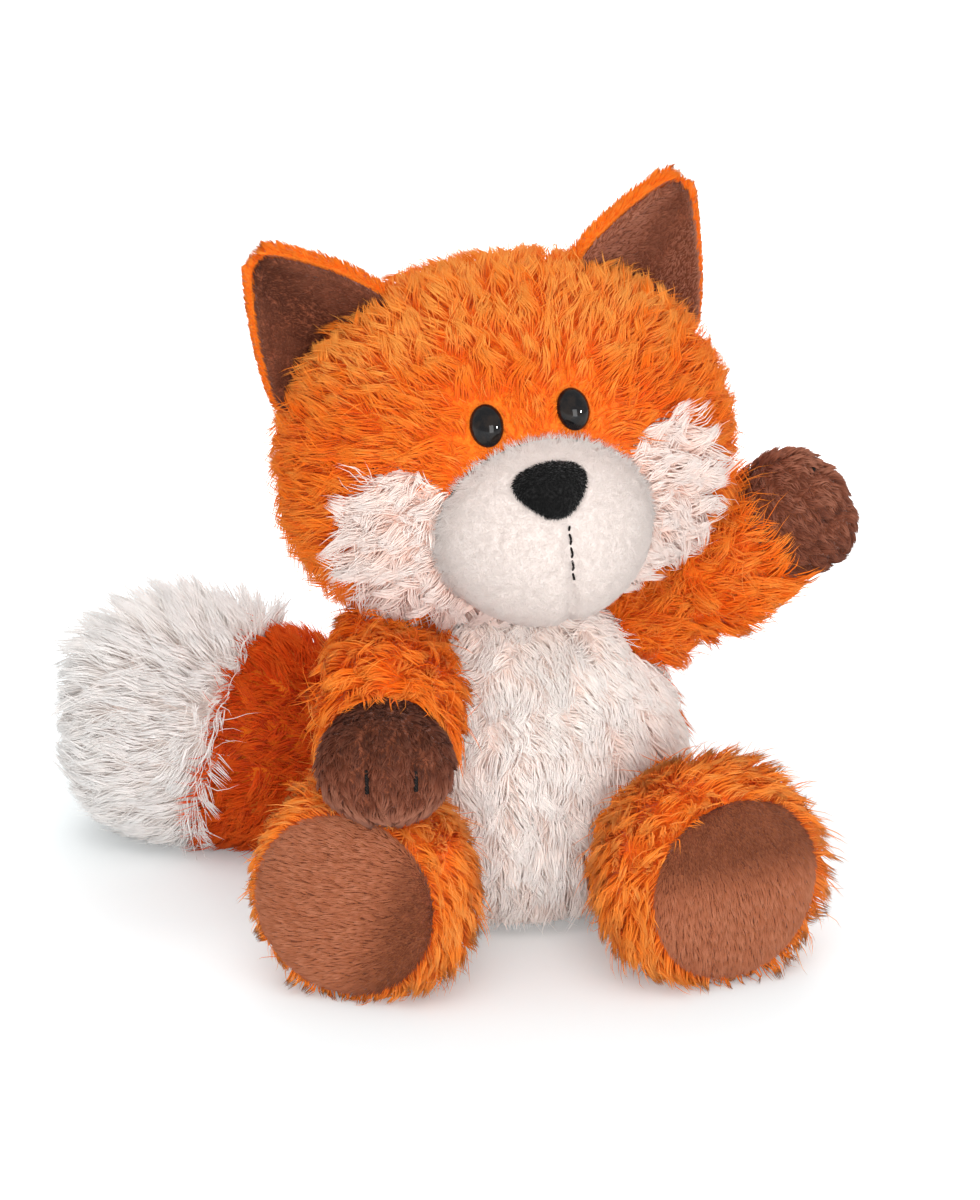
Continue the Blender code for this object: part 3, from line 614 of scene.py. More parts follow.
def trimmed(form: BMesh, point: Vector, normal: Vector, close: bool = False) -> BMesh:
    """Takes off what lies beyond a plane.

    Args:
        form: The form.
        point: A point of the plane, in metres.
        normal: The side that goes.
        close: Whether the cut is closed.

    Returns:
        The same form.
    """
    geometry = form.verts[:] + form.edges[:] + form.faces[:]
    bmesh.ops.bisect_plane(form, geom=geometry, plane_co=point, plane_no=normal, clear_outer=True)
    if close:
        bmesh.ops.holes_fill(form, edges=[edge for edge in form.edges if edge.is_boundary], sides=0)
        bmesh.ops.recalc_face_normals(form, faces=form.faces)
    return form


def grown(form: BMesh, distance: float | Array) -> BMesh:
    """Moves a form's surface outwards.

    Args:
        form: The form.
        distance: Millimetres, below zero for inwards, the same for all points or one for each.

    Returns:
        The same form.
    """
    form.normal_update()
    normals = [vert.normal.copy() for vert in form.verts]
    for vert, normal, move in zip(form.verts[:], normals, np.broadcast_to(distance, len(normals))):
        vert.co += normal * float(move) * MM
    return form


@dataclass(frozen=True)
class Ball:
    """A swollen ball, boxier than an ellipsoid where its fullness is over 2."""

    half: Size
    fullness: float
    place: Matrix
    facing_front: bool = False
    taper: float = 0.0

    def form(self, steps: int, rings: int) -> BMesh:
        """The ball as a mesh.

        Args:
            steps: Faces round.
            rings: Faces from pole to pole.

        Returns:
            The form in its place.
        """
        form = spun(swollen(rings, (1, self.fullness), (1, self.fullness)), steps)
        if self.facing_front:
            moved(form, turn_to(FORWARD))
        bmesh.ops.scale(form, vec=self.half, verts=form.verts)
        for vert in form.verts:
            vert.co.x *= 1 - self.taper * vert.co.z / (self.half[2] * MM)
        return moved(form, self.place)

    def depth(self, points: Array) -> Array:
        """How far points are from the ball's surface.

        Args:
            points: Rows in metres.

        Returns:
            About the millimetres outside it, below zero inside.
        """
        x, y, z = (carried(self.place.inverted(), points) / MM / np.array(self.half)).T
        pole, across = (y, z) if self.facing_front else (z, y)
        reach = np.hypot(x, across) ** self.fullness + np.abs(pole) ** self.fullness
        return (reach ** (1 / self.fullness) - 1) * min(self.half)


@dataclass(frozen=True)
class Limb:
    """A stuffed limb along +Z of its frame: a ball for a root, swells further out, and a cap."""

    root: float
    swells: tuple[tuple[float, float], ...]
    cap: float
    place: Matrix
    squash_axis: int = 1
    squash: float = 1.0
    squash_from: float = 0.0
    squash_to: float = 1.0
    root_wrap: float = 120.0

    @property
    def joint(self) -> Vector:
        """The middle of the limb's root."""
        return self.place.translation

    def profile(self, cap_rings: int, span_rings: int) -> list[tuple[float, float]]:
        """The limb's outline.

        Args:
            cap_rings: Faces in the cap's quarter turn.
            span_rings: Faces between two swells.

        Returns:
            Pairs of radius and reach.
        """
        rings = math.ceil(cap_rings * self.root_wrap / 90)
        profile = []
        for ring in range(rings + 1):
            angle = math.radians(self.root_wrap) * ring / rings
            profile.append((self.root * math.sin(angle), -self.root * math.cos(angle)))
        before = profile[-1]
        for radius, reach in self.swells:
            for ring in range(1, span_rings + 1):
                share = ring / span_rings
                swell = before[0] + (radius - before[0]) * float(rising(np.array(share), 0, 1))
                profile.append((swell, before[1] + (reach - before[1]) * share))
            before = (radius, reach)
        for ring in range(1, cap_rings + 1):
            angle = math.pi / 2 * ring / cap_rings
            radius = before[0] * math.cos(angle) if ring < cap_rings else 0
            profile.append((radius, before[1] + self.cap * math.sin(angle)))
        return profile

    def flattening(self, reach: Array) -> Array:
        """How much of its round the limb keeps at each reach in millimetres."""
        return 1 + (self.squash - 1) * rising(reach, self.squash_from, self.squash_to)

    def form(self, steps: int = 44, cap_rings: int = 9, span_rings: int = 6) -> BMesh:
        """The limb as a mesh, cut flat where it lies on the floor.

        Args:
            steps: Faces round.
            cap_rings: Faces in the cap's quarter turn.
            span_rings: Faces between two swells.

        Returns:
            The form in its place.
        """
        form = spun(self.profile(cap_rings, span_rings), steps)
        for vert in form.verts:
            vert.co[self.squash_axis] *= float(self.flattening(np.array(vert.co.z / MM)))
        return trimmed(moved(form, self.place), Vector(), -UP, close=True)

    def local(self, points: Array) -> Array:
        """Rows of millimetres in the limb's own frame, from rows in metres."""
        return carried(self.place.inverted(), points) / MM

    def depth(self, points: Array) -> Array:
        """How far points are from the limb's side.

        Args:
            points: Rows in metres.

        Returns:
            About the millimetres outside it, below zero inside.
        """
        local = self.local(points)
        local[:, self.squash_axis] /= self.flattening(local[:, 2])
        radii, reaches = np.array(self.profile(12, 8)).T
        beyond = np.maximum(reaches[0] - local[:, 2], local[:, 2] - reaches[-1])
        side = np.hypot(local[:, 0], local[:, 1]) - np.interp(local[:, 2], reaches, radii)
        return np.maximum(side, beyond)


@dataclass(frozen=True)
class Torso:
    """The body, widest low down, which leans to carry the head and sits flat on the floor."""

    middle: tuple[float, float] = (11.2, -3.7)
    half_width: float = 40.0
    half_depth: float = 33.0
    widest: float = 34.0
    crown: float = 88.0
    neck: float = 82.0
    lean: tuple[float, float] = (-4.0, -3.0)
    rest_depth: float = 0.5
    lower_fullness: float = 2.8
    upper_fullness: float = 2.0
    steps: int = 64
    rings: int = 32

    def lean_at(self, height: Array) -> Array:
        """Rows of how far the body's middle has moved, in x and y, at heights above the floor."""
        share = rising(height, self.widest, self.neck)
        return share[..., None] * np.array(self.lean)

    def form(self) -> BMesh:
        """The body as a mesh.

        Returns:
            The form in its place, cut flat at the floor.
        """
        low = (self.widest + self.rest_depth, self.lower_fullness)
        high = (self.crown - self.widest, self.upper_fullness)
        form = spun(swollen(self.rings, low, high), self.steps)
        bmesh.ops.scale(form, vec=(self.half_width, self.half_depth, 1), verts=form.verts)
        for vert in form.verts:
            vert.co.z += self.widest * MM
            x, y = self.lean_at(np.array(vert.co.z / MM))
            vert.co.x += (self.middle[0] + x) * MM
            vert.co.y += (self.middle[1] + y) * MM
        return trimmed(form, Vector(), -UP, close=True)

    def reach(self, height: float, bearing: float) -> float:
        """How far the body's outside is from its middle.

        Args:
            height: Millimetres above the floor.
            bearing: Degrees from the front.

        Returns:
            Millimetres.
        """
        share = min(abs(height - self.widest) / (self.crown - self.widest), 1)
        swell = (1 - share**self.upper_fullness) ** (1 / self.upper_fullness)
        angle = math.radians(bearing)
        return swell / math.hypot(math.sin(angle) / self.half_width, math.cos(angle) / self.half_depth)

    def shoulder(self, side: Side, drop: float, bearing: float, standoff: float) -> Vector:
        """A shoulder seam's middle.

        Args:
            side: Its side.
            drop: Millimetres below the neck.
            bearing: Degrees from the front.
            standoff: Millimetres outside the body.

        Returns:
            The place in metres.
        """
        height = self.neck - drop
        x, y = self.lean_at(np.array(height)) + np.array(self.middle)
        out = self.reach(height, bearing) + standoff
        return (Vector((x, y, height)) + heading(side, bearing) * out) * MM

    def depth(self, points: Array) -> Array:
        """How far points are from the body's surface.

        Args:
            points: Rows in metres.

        Returns:
            About the millimetres outside it, below zero inside.
        """
        mm = points / MM
        across = (mm[:, :2] - self.middle - self.lean_at(mm[:, 2])) / (self.half_width, self.half_depth)
        low = mm[:, 2] < self.widest
        half = np.where(low, self.widest + self.rest_depth, self.crown - self.widest)
        power = np.where(low, self.lower_fullness, self.upper_fullness)
        rise = np.abs(mm[:, 2] - self.widest) / half
        reach = (np.linalg.norm(across, axis=1) ** power + rise**power) ** (1 / power)
        return (reach - 1) * self.half_depth


# Pieces


def meshed(form: BMesh, name: str) -> bpy.types.Mesh:
    """A form as a mesh.

    Args:
        form: The form, which is used up.
        name: The mesh's name.

    Returns:
        The mesh.
    """
    mesh = bpy.data.meshes.new(name)
    form.to_mesh(mesh)
    form.free()
    return mesh


def shown(name: str, data: bpy.types.ID) -> bpy.types.Object:
    """An object of a mesh, lamp or camera, put into the scene.

    Args:
        name: Its name.
        data: What it shows.

    Returns:
        The object.
    """
    obj = bpy.data.objects.new(name, data)
    bpy.context.scene.collection.objects.link(obj)
    return obj


def piece(name: str, form: BMesh, body: str, finish: Finish) -> bpy.types.Object:
    """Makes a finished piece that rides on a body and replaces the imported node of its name.

    Args:
        name: The node's name.
        form: The piece's form in world coordinates, which is used up.
        body: The body that it rides on.
        finish: Its finish.

    Returns:
        The piece.
    """
    mesh = meshed(form, name)
    mesh.shade_smooth()
    mesh.materials.append(finish.material())
    obj = shown(f"{name}_plush", mesh)
    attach(obj, body)
    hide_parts(name)
    return obj


def carve(obj: bpy.types.Object, thickness: float, *steps: tuple[str, BMesh]) -> bpy.types.Object:
    """Thickens a piece inwards and cuts it, and makes the result its mesh.

    Args:
        obj: The piece.
        thickness: The millimetres of its wall, or zero for none, and below zero for outwards.
        steps: Boolean operations and the forms that they use.

    Returns:
        The same piece.
    """
    if thickness:
        wall = obj.modifiers.new("wall", "SOLIDIFY")
        wall.thickness = abs(thickness) * MM
        wall.offset = -math.copysign(1, thickness)
    cutters = [shown("cutter", meshed(form, "cutter")) for _, form in steps]
    for (operation, _), other in zip(steps, cutters):
        cut = obj.modifiers.new("cut", "BOOLEAN")
        cut.operation = operation
        cut.object = other
        cut.solver = "EXACT"
    graph = bpy.context.evaluated_depsgraph_get()
    made = bpy.data.meshes.new_from_object(obj.evaluated_get(graph))
    old, obj.data = obj.data, made
    made.name = old.name
    obj.modifiers.clear()
    bpy.data.meshes.remove(old)
    for other in cutters:
        bpy.data.objects.remove(other)
    obj.data.shade_smooth()
    return obj


# Fur


@dataclass
class Grain:
    """How the pile lies at its roots, each value of which is one for all or one for each.

    It leans a way, is some millimetres long, rises some degrees off the surface, turns some degrees
    either way from tuft to tuft, and has a tone from 0, its darkest, to 1.
    """

    lean: Array
    length: float | Array
    rise: float | Array
    scatter: float | Array
    tone: float | Array


Rule = Callable[[Array, Array], Grain]
Test = Callable[[Array], Array]


@dataclass(frozen=True)
class Pile:
    """One kind of plush: how thick its locks are, how many, and how they gather into tufts."""

    per_mm2: float
    width: float
    rings: int
    tuft: float = 3.0
    gather: float = 0.6
    curl: float = 0.3
    uneven: float = 0.2
    bend: float = 22.0
    tone_spread: float = 0.1
    # crown paints each tuft lighter in its middle and darker at its edge, as painted shade between tufts
    crown: float = 0.3
    softness: float = 0.25


LONG_PILE = Pile(per_mm2=1.52, width=0.48, rings=2)
WISP_PILE = Pile(per_mm2=0.16, width=0.3, rings=4, tuft=2.4, gather=0.55, uneven=0.35, tone_spread=0.16)
SHORT_PILE = Pile(5.0, 0.36, 1, tuft=1.6, gather=0.25, curl=0.05, uneven=0.12, bend=10, crown=0.08)


class Lock:
    """One lock of pile, a thin closed spike in a few rings, made once and repeated along every strand."""

    SEGMENTS = 3
    ACROSS = 0.008
    CAP_STEP = 0.02
    ROOT_V = 0.04
    REACH_V = 0.94

    def __init__(self, rings: int) -> None:
        """Makes the spike from a cone cut into rings.

        Args:
            rings: Rows of faces from root to tip.
        """
        form = bmesh.new()
        bmesh.ops.create_cone(
            form, cap_ends=True, cap_tris=False, segments=self.SEGMENTS, radius1=1, radius2=0, depth=1
        )
        bmesh.ops.translate(form, vec=UP / 2, verts=form.verts)
        bmesh.ops.remove_doubles(form, verts=form.verts, dist=1e-4)
        for ring in range(1, rings):
            geometry = form.verts[:] + form.edges[:] + form.faces[:]
            bmesh.ops.bisect_plane(form, geom=geometry, plane_co=UP * ring / rings, plane_no=UP)
        places = np.array([vert.co for vert in form.verts])
        self.ring = np.rint(places[:, 2] * rings).astype(int)
        self.around = unit(places[:, :2]) * (self.ring < rings)[:, None]
        faces = [[vert.index for vert in face.verts] for face in form.faces]
        form.free()
        self.loops = np.array([index for face in faces for index in face])
        self.starts = np.cumsum([0] + [len(face) for face in faces[:-1]])
        turns = np.arctan2(self.around[:, 1], self.around[:, 0])
        sides = np.rint(turns / (math.tau / self.SEGMENTS)) * (self.ring < rings)
        cap = [max(self.ring[face]) == 0 for face in faces for _ in face]
        step = np.concatenate([np.arange(len(face)) == 1 for face in faces]) * self.CAP_STEP
        self.across = sides[self.loops] * self.ACROSS
        self.up = np.where(cap, step, self.ROOT_V + self.REACH_V * (self.ring / rings)[self.loops])


class Surface:
    """A mesh's outside, as triangles to scatter roots on, in the same order each run."""

    SORTED_ALONG = np.array([0.7071, 0.5377, 0.4591])
    PLACES = 9

    def __init__(self, mesh: bpy.types.Mesh) -> None:
        """Reads a mesh.

        Args:
            mesh: The mesh.
        """
        mesh.calc_loop_triangles()
        places = np.zeros(len(mesh.vertices) * 3, np.float32)
        mesh.vertices.foreach_get("co", places)
        normals = np.zeros(len(mesh.vertices) * 3, np.float32)
        mesh.vertex_normals.foreach_get("vector", normals)
        index = np.zeros(len(mesh.loop_triangles) * 3, np.int32)
        mesh.loop_triangles.foreach_get("vertices", index)
        index = index.reshape(-1, 3)
        corners = places.reshape(-1, 3).astype(float)[index]
        normals = normals.reshape(-1, 3).astype(float)[index]
        first = np.argsort(np.round(corners @ self.SORTED_ALONG, self.PLACES), axis=1)[:, :, None]
        corners = np.take_along_axis(corners, first, 1)
        normals = np.take_along_axis(normals, first, 1)
        along = np.round(corners.sum(1) @ self.SORTED_ALONG, self.PLACES)
        order = np.argsort(along, kind="stable")
        self.corners, self.normals = corners[order], normals[order]
        edges = self.corners[:, 1:] - self.corners[:, :1]
        self.areas = np.linalg.norm(np.cross(edges[:, 0], edges[:, 1]), axis=1) / 2

    @classmethod
    def of(cls, form: BMesh) -> "Surface":
        """The outside of a form.

        Args:
            form: The form, which is used up.

        Returns:
            Its surface.
        """
        mesh = meshed(form, "surface")
        made = cls(mesh)
        bpy.data.meshes.remove(mesh)
        return made

    def scatter(self, rng: np.random.Generator, per_mm2: float) -> tuple[Array, Array]:
        """Spreads points evenly over the surface.

        Args:
            rng: The seeded source of chance.
            per_mm2: How many a square millimetre holds.

        Returns:
            The points and the normals there.
        """
        reach = np.cumsum(self.areas)
        count = int(reach[-1] / MM**2 * per_mm2)
        spots = (np.arange(count) + rng.random(count)) / count * reach[-1]
        chosen = np.minimum(np.searchsorted(reach, spots), len(reach) - 1)
        first = np.sqrt(rng.random(count))
        second = rng.random(count)
        shares = np.stack([1 - first, first * (1 - second), first * second], 1)[:, :, None]
        return (self.corners[chosen] * shares).sum(1), unit((self.normals[chosen] * shares).sum(1))


@dataclass
class Fur:
    """Grows pile on a surface as real locks: each follows its tuft's way and leans towards the tuft's tip."""

    name: str
    surface: Surface
    pile: Pile
    grain: Rule
    keep: Test
    finish: FurFinish
    body: str
    slot: str
    sectors: int = 1
    seed: int = 1
    sector_axis: tuple[float, float] = (0.0, 0.0)
    swirl: float = 3.2
    floor_gap: float = 0.4

    NUDGE = 1e-4

    def strands(
        self, roots: Array, normals: Array, grain: Grain, turn: Array, sway: Array, scale: Array
    ) -> tuple[Array, Array]:
        """The line that each lock follows.

        Args:
            roots: Where the locks stand.
            normals: The surface's normals there.
            grain: How the pile lies there.
            turn: How far each has turned from the grain, as a share of its scatter.
            sway: Where each is in its curl, in radians.
            scale: Each one's share of the length.

        Returns:
            The points of each line, and its direction across.
        """
        rings = self.pile.rings
        ones = np.ones(len(roots))
        lean = grain.lean * ones[:, None]
        lean = unit(lean - (lean * normals).sum(1)[:, None] * normals + self.NUDGE)
        side = np.cross(normals, lean)
        angle = (turn * np.radians(grain.scatter * ones))[:, None]
        along = lean * np.cos(angle) + side * np.sin(angle)
        across = np.cross(normals, along)
        steps = [roots]
        bend = math.radians(self.pile.bend)
        for ring in range(rings):
            share = (ring + 0.5) / rings
            rise = (np.radians(grain.rise * ones) + bend * (1 - 2 * share))[:, None]
            swing = (np.sin(sway + self.swirl * share) * self.pile.curl)[:, None]
            step = unit(along * np.cos(rise) + normals * np.sin(rise) + across * swing)
            steps.append(steps[-1] + step * (grain.length * MM * scale / rings)[:, None])
        return np.stack(steps, 1), across

    def grow(self) -> list[bpy.types.Object]:
        """Grows the fur.

        Returns:
            Its pieces, one for each sector.
        """
        pile = self.pile
        rng = np.random.default_rng(self.seed)
        thin = 1.0
        roots, normals = self.surface.scatter(rng, pile.per_mm2 * thin)
        kept = self.keep(roots)
        roots, normals = roots[kept], normals[kept]
        heads, head_normals = self.surface.scatter(rng, 1 / pile.tuft**2)
        tree = KDTree(len(heads))
        for index, place in enumerate(heads):
            tree.insert(place, index)
        tree.balance()
        tuft = np.array([tree.find(place)[1] for place in roots])

        # Each tuft's guide, which its locks are pulled towards
        many = len(heads)
        turn = rng.uniform(-1, 1, many)
        sway = rng.uniform(0, math.tau, many)
        scale = 1 + pile.uneven * rng.uniform(-1, 1, many)
        shade = pile.tone_spread * rng.uniform(-1, 1, many)
        head_grain = self.grain(heads, head_normals)
        guide, _ = self.strands(heads, head_normals, head_grain, turn, sway, scale)

        # Each lock's own line, a little off its tuft's
        grain = self.grain(roots, normals)
        count = len(roots)
        own_scale = scale[tuft] * (1 + 0.12 * rng.normal(size=count)).clip(0.6, 1.4)
        own_turn = turn[tuft] + 0.25 * rng.normal(size=count)
        own_sway = sway[tuft] + 0.5 * rng.normal(size=count)
        lines, across = self.strands(roots, normals, grain, own_turn, own_sway, own_scale)
        pull = pile.gather * rng.uniform(0.6, 1.15, count)
        share = np.linspace(0, 1, pile.rings + 1)[None, :, None] ** 1.1
        lines = lines + (guide[tuft] - lines) * share * pull[:, None, None]
        lines[:, 1:, 2] = np.maximum(lines[:, 1:, 2], self.floor_gap * MM)

        # Each lock's tone, painted lighter in the middle of its tuft and darker at its edge as shade between
        # tufts
        apart = np.linalg.norm(roots - heads[tuft], axis=1) / (pile.tuft * MM)
        tone = grain.tone + shade[tuft] + 0.5 * pile.tone_spread * rng.normal(size=count)
        tone = tone + pile.crown * (0.45 - apart)
        width = pile.width * MM * rng.uniform(0.75, 1.25, count) / math.sqrt(thin)
        away = roots[:, :2] - np.array(self.sector_axis)
        order = np.argsort(np.arctan2(away[:, 1], away[:, 0]))
        made = []
        for index, chunk in enumerate(np.array_split(order, self.sectors)):
            name = self.name if self.sectors == 1 else f"{self.name}_{index + 1}"
            looks = (across[chunk], width[chunk], tone[chunk], normals[chunk])
            made.append(self._piece(name, lines[chunk], *looks))
        log.info("%s: %d locks", self.name, count)
        return made

    def grow_with_wisps(self, longer: float = 1.35, curl: float = 0.5) -> list[bpy.types.Object]:
        """Grows the fur, and a sparse second layer of fine curling wisps that stand out of it.

        Args:
            longer: The wisps' length as a share of the fur's.
            curl: How much they curl.

        Returns:
            Both layers' pieces.
        """
        layer = replace(
            self,
            name=f"{self.name}_wisps",
            pile=replace(WISP_PILE, curl=curl),
            grain=partial(self._looser, longer),
            sectors=1,
            seed=self.seed + 100,
        )
        return self.grow() + layer.grow()

    def _looser(self, longer: float, points: Array, normals: Array) -> Grain:
        """The fur's grain at roots with their normals, longer by a share and less even."""
        grain = self.grain(points, normals)
        return replace(grain, length=grain.length * longer, scatter=grain.scatter * 1.4)

    def _piece(
        self, name: str, lines: Array, across: Array, width: Array, tone: Array, normals: Array
    ) -> bpy.types.Object:
        """Repeats the lock along the lines.

        Args:
            name: The piece's name.
            lines: The points that each lock follows.
            across: Each one's direction across.
            width: Each one's width at the root.
            tone: Each one's tone.
            normals: The surface's normals at the roots, which shade the pile softly.

        Returns:
            The piece.
        """
        lock = Lock(self.pile.rings)
        count, rings = len(lines), self.pile.rings
        step = np.diff(lines, axis=1)
        tangents = unit(np.concatenate([step, step[:, -1:]], 1))
        flat = across[:, None] - (across[:, None] * tangents).sum(2, keepdims=True) * tangents
        first = unit(flat)
        second = np.cross(tangents, first)
        taper = (1 - np.arange(rings + 1) / rings) ** 0.6 / 2
        radius = (width[:, None] * taper)[:, lock.ring, None]
        spread = first[:, lock.ring] * lock.around[:, :1] + second[:, lock.ring] * lock.around[:, 1:]
        places = lines[:, lock.ring] + spread * radius
        mesh = bpy.data.meshes.new(name)
        each, corners = len(lock.ring), len(lock.loops)
        number = np.arange(count)[:, None]
        mesh.vertices.add(count * each)
        mesh.vertices.foreach_set("co", places.astype(np.float32).ravel())
        mesh.loops.add(count * corners)
        mesh.loops.foreach_set("vertex_index", (lock.loops + number * each).astype(np.int32).ravel())
        mesh.polygons.add(count * len(lock.starts))
        mesh.polygons.foreach_set("loop_start", (lock.starts + number * corners).astype(np.int32).ravel())
        mesh.update(calc_edges=True)
        u = np.clip(tone, 0.02, 0.98)[:, None] + lock.across
        uv = np.stack([u, np.broadcast_to(lock.up, u.shape)], 2).astype(np.float32).ravel()
        for layer in (STRAND_MAP, EXPORT_MAP):
            mesh.uv_layers.new(name=layer).data.foreach_set("uv", uv)
        mesh.shade_smooth()
        soft = unit(normals[:, None] * self.pile.softness + spread * (1 - self.pile.softness))
        mesh.normals_split_custom_set_from_vertices(soft.reshape(-1, 3).tolist())
        mesh.materials.append(self.finish.material())
        obj = shown(name, mesh)
        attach(obj, self.body)
        return obj


# The fox


TORSO = Torso()
NECK = Vector((TORSO.middle[0] + TORSO.lean[0], TORSO.middle[1] + TORSO.lean[1], TORSO.neck)) * MM


@dataclass
class HeadPlan:
    """Where the head and what it carries are, about the head's own middle."""

    half: Size = (51.0, 42.0, 39.5)
    middle: Size = (0.5, -5.5, 37.0)
    turn: float = 4.3
    tilt: float = 8.0
    nod: float = 2.5
    muzzle_half: Size = (24.7, 25.0, 22.2)
    muzzle_middle: Size = (0.0, -34.7, -13.5)
    cheek_half: Size = (17.5, 22.0, 20.0)
    cheek_middle: Size = (30.5, -24.0, -12.5)
    covered: float = 6.5
    seam_depth: float = 1.5
    seam_width: float = 1.7
    seam_top: float = -6.0
    seam_shift: tuple[float, float] = (2.0, 1.4)

    @property
    def pose(self) -> Matrix:
        """The head's frame."""
        return (
            Matrix.Translation(NECK + Vector(self.middle) * MM)
            @ Matrix.Rotation(math.radians(self.turn), 4, "Z")
            @ Matrix.Rotation(-math.radians(self.tilt), 4, "Y")
            @ Matrix.Rotation(-math.radians(self.nod), 4, "X")
        )

    def at(self, place: Sequence[float]) -> Matrix:
        """The frame of something that many millimetres from the head's middle."""
        return self.pose @ Matrix.Translation(Vector(place) * MM)

    def local(self, points: Array) -> Array:
        """Rows of millimetres from the head's middle, from rows in metres."""
        return carried(self.pose.inverted(), points) / MM

    def skull(self, place: Matrix) -> Ball:
        """The head's form in a frame."""
        return Ball(self.half, 2.2, place, taper=0.05)

    def muzzle(self, place: Matrix) -> Ball:
        """The muzzle's form in a frame."""
        return Ball(self.muzzle_half, 2.1, place, facing_front=True)

    def seam_x(self, z: Array) -> Array:
        """How far left the muzzle's middle seam is, at millimetres above the head's middle."""
        return np.interp(self.seam_top - z, (0.0, 14.0), self.seam_shift)

    def muzzle_form(self) -> BMesh:
        """The muzzle as a mesh, drawn in along its middle seam below the nose.

        Returns:
            The form in its place.
        """
        form = MUZZLE.form(96, 48)
        inward = self.pose.inverted()
        x, y, z = np.array([inward @ vert.co for vert in form.verts]).T / MM
        away = (x - self.seam_x(z)) / self.seam_width
        share = rising(z, self.seam_top + 2, self.seam_top - 5) * rising(y, -36, -44)
        return grown(form, -self.seam_depth * np.exp(-away * away) * share)

    def cheek(self, side: Side, growth: float = 0.0, covered: float = 0.0) -> Ball:
        """The form that holds a cheek patch.

        Args:
            side: Its side.
            growth: Millimetres added all round.
            covered: Millimetres of its outer edge that are left out.

        Returns:
            The form.
        """
        x, y, z = self.cheek_middle
        width, *others = [size + growth for size in self.cheek_half]
        place = self.at((side.value * (x - covered / 2), y, z))
        return Ball((width - covered / 2, *others), 2.0, place)


PLAN = HeadPlan()
SKULL = PLAN.skull(PLAN.pose)
MUZZLE = PLAN.muzzle(PLAN.at(PLAN.muzzle_middle))
WHITE_ZONES = {side: PLAN.cheek(side, covered=PLAN.covered) for side in Side}

ARM_WAYS = {Side.LEFT: heading(Side.LEFT, 84, 33.5), Side.RIGHT: heading(Side.RIGHT, 9, -16)}
ARM_ROLLS = {Side.LEFT: 90.0, Side.RIGHT: 0.0}
SHOULDERS = {
    Side.LEFT: TORSO.shoulder(Side.LEFT, 9.5, 90, 5.7),
    Side.RIGHT: TORSO.shoulder(Side.RIGHT, 12, 57, 5),
}
ARMS = {
    side: Limb(
        root=12.3,
        swells=((14.6, 20.0), (12.8, 34.5), (14.8, 45.5)),
        cap=12.0,
        place=aim(SHOULDERS[side], ARM_WAYS[side], ARM_ROLLS[side]),
        squash=0.85,
        squash_from=20.0,
        squash_to=45.5,
    )
    for side in Side
}
# A solid limb has this many faces round and lies on a flat one, a little into the floor
SOLID_STEPS = 14
FLOOR_SINK = 0.5
LEG_FULL = 24.6
TAIL_FULL = 28.0


def lying_height(radius: float) -> float:
    """How high the middle of a lying limb is, in millimetres, from its greatest radius."""
    return radius * math.cos(math.pi / SOLID_STEPS) - FLOOR_SINK


LEG_WAYS = {Side.LEFT: heading(Side.LEFT, 21), Side.RIGHT: heading(Side.RIGHT, 26)}
HIPS = {
    side: Vector((TORSO.middle[0] + side.value * 26.8, TORSO.middle[1] - 19.5, lying_height(LEG_FULL))) * MM
    for side in Side
}
LEGS = {
    side: Limb(17.0, ((LEG_FULL, 35.0), (21.3, 46.0)), 5.5, aim(HIPS[side], LEG_WAYS[side]))
    for side in Side
}
TAIL_BEARING = 115.0
TAIL_ROOT = Vector((TORSO.middle[0] - 18.5, TORSO.middle[1] + 30.5, lying_height(TAIL_FULL))) * MM
TAIL_WAY = heading(Side.RIGHT, TAIL_BEARING)
TAIL = Limb(
    root=14.0,
    swells=((25.5, 36.0), (TAIL_FULL, 65.0)),
    cap=26.0,
    place=aim(TAIL_ROOT, TAIL_WAY),
    squash_axis=0,
    squash=0.94,
    squash_to=36.0,
)
LIMBS = (*ARMS.values(), *LEGS.values(), TAIL)


def seat(limb: Limb) -> BMesh:
    """The round hollow that a limb's root turns in."""
    return Ball((limb.root + SEAT_GAP,) * 3, 2.0, Matrix.Translation(limb.joint)).form(32, 16)


def block(point: Vector, normal: Vector) -> BMesh:
    """A block that fills one side of a plane.

    Args:
        point: A point of the plane.
        normal: The side that it fills.

    Returns:
        The form that cuts there.
    """
    form = bmesh.new()
    bmesh.ops.create_cube(form, size=240 * MM)
    bmesh.ops.translate(form, vec=(0, 0, 120 * MM), verts=form.verts)
    return moved(form, Matrix.Translation(point) @ turn_to(normal))


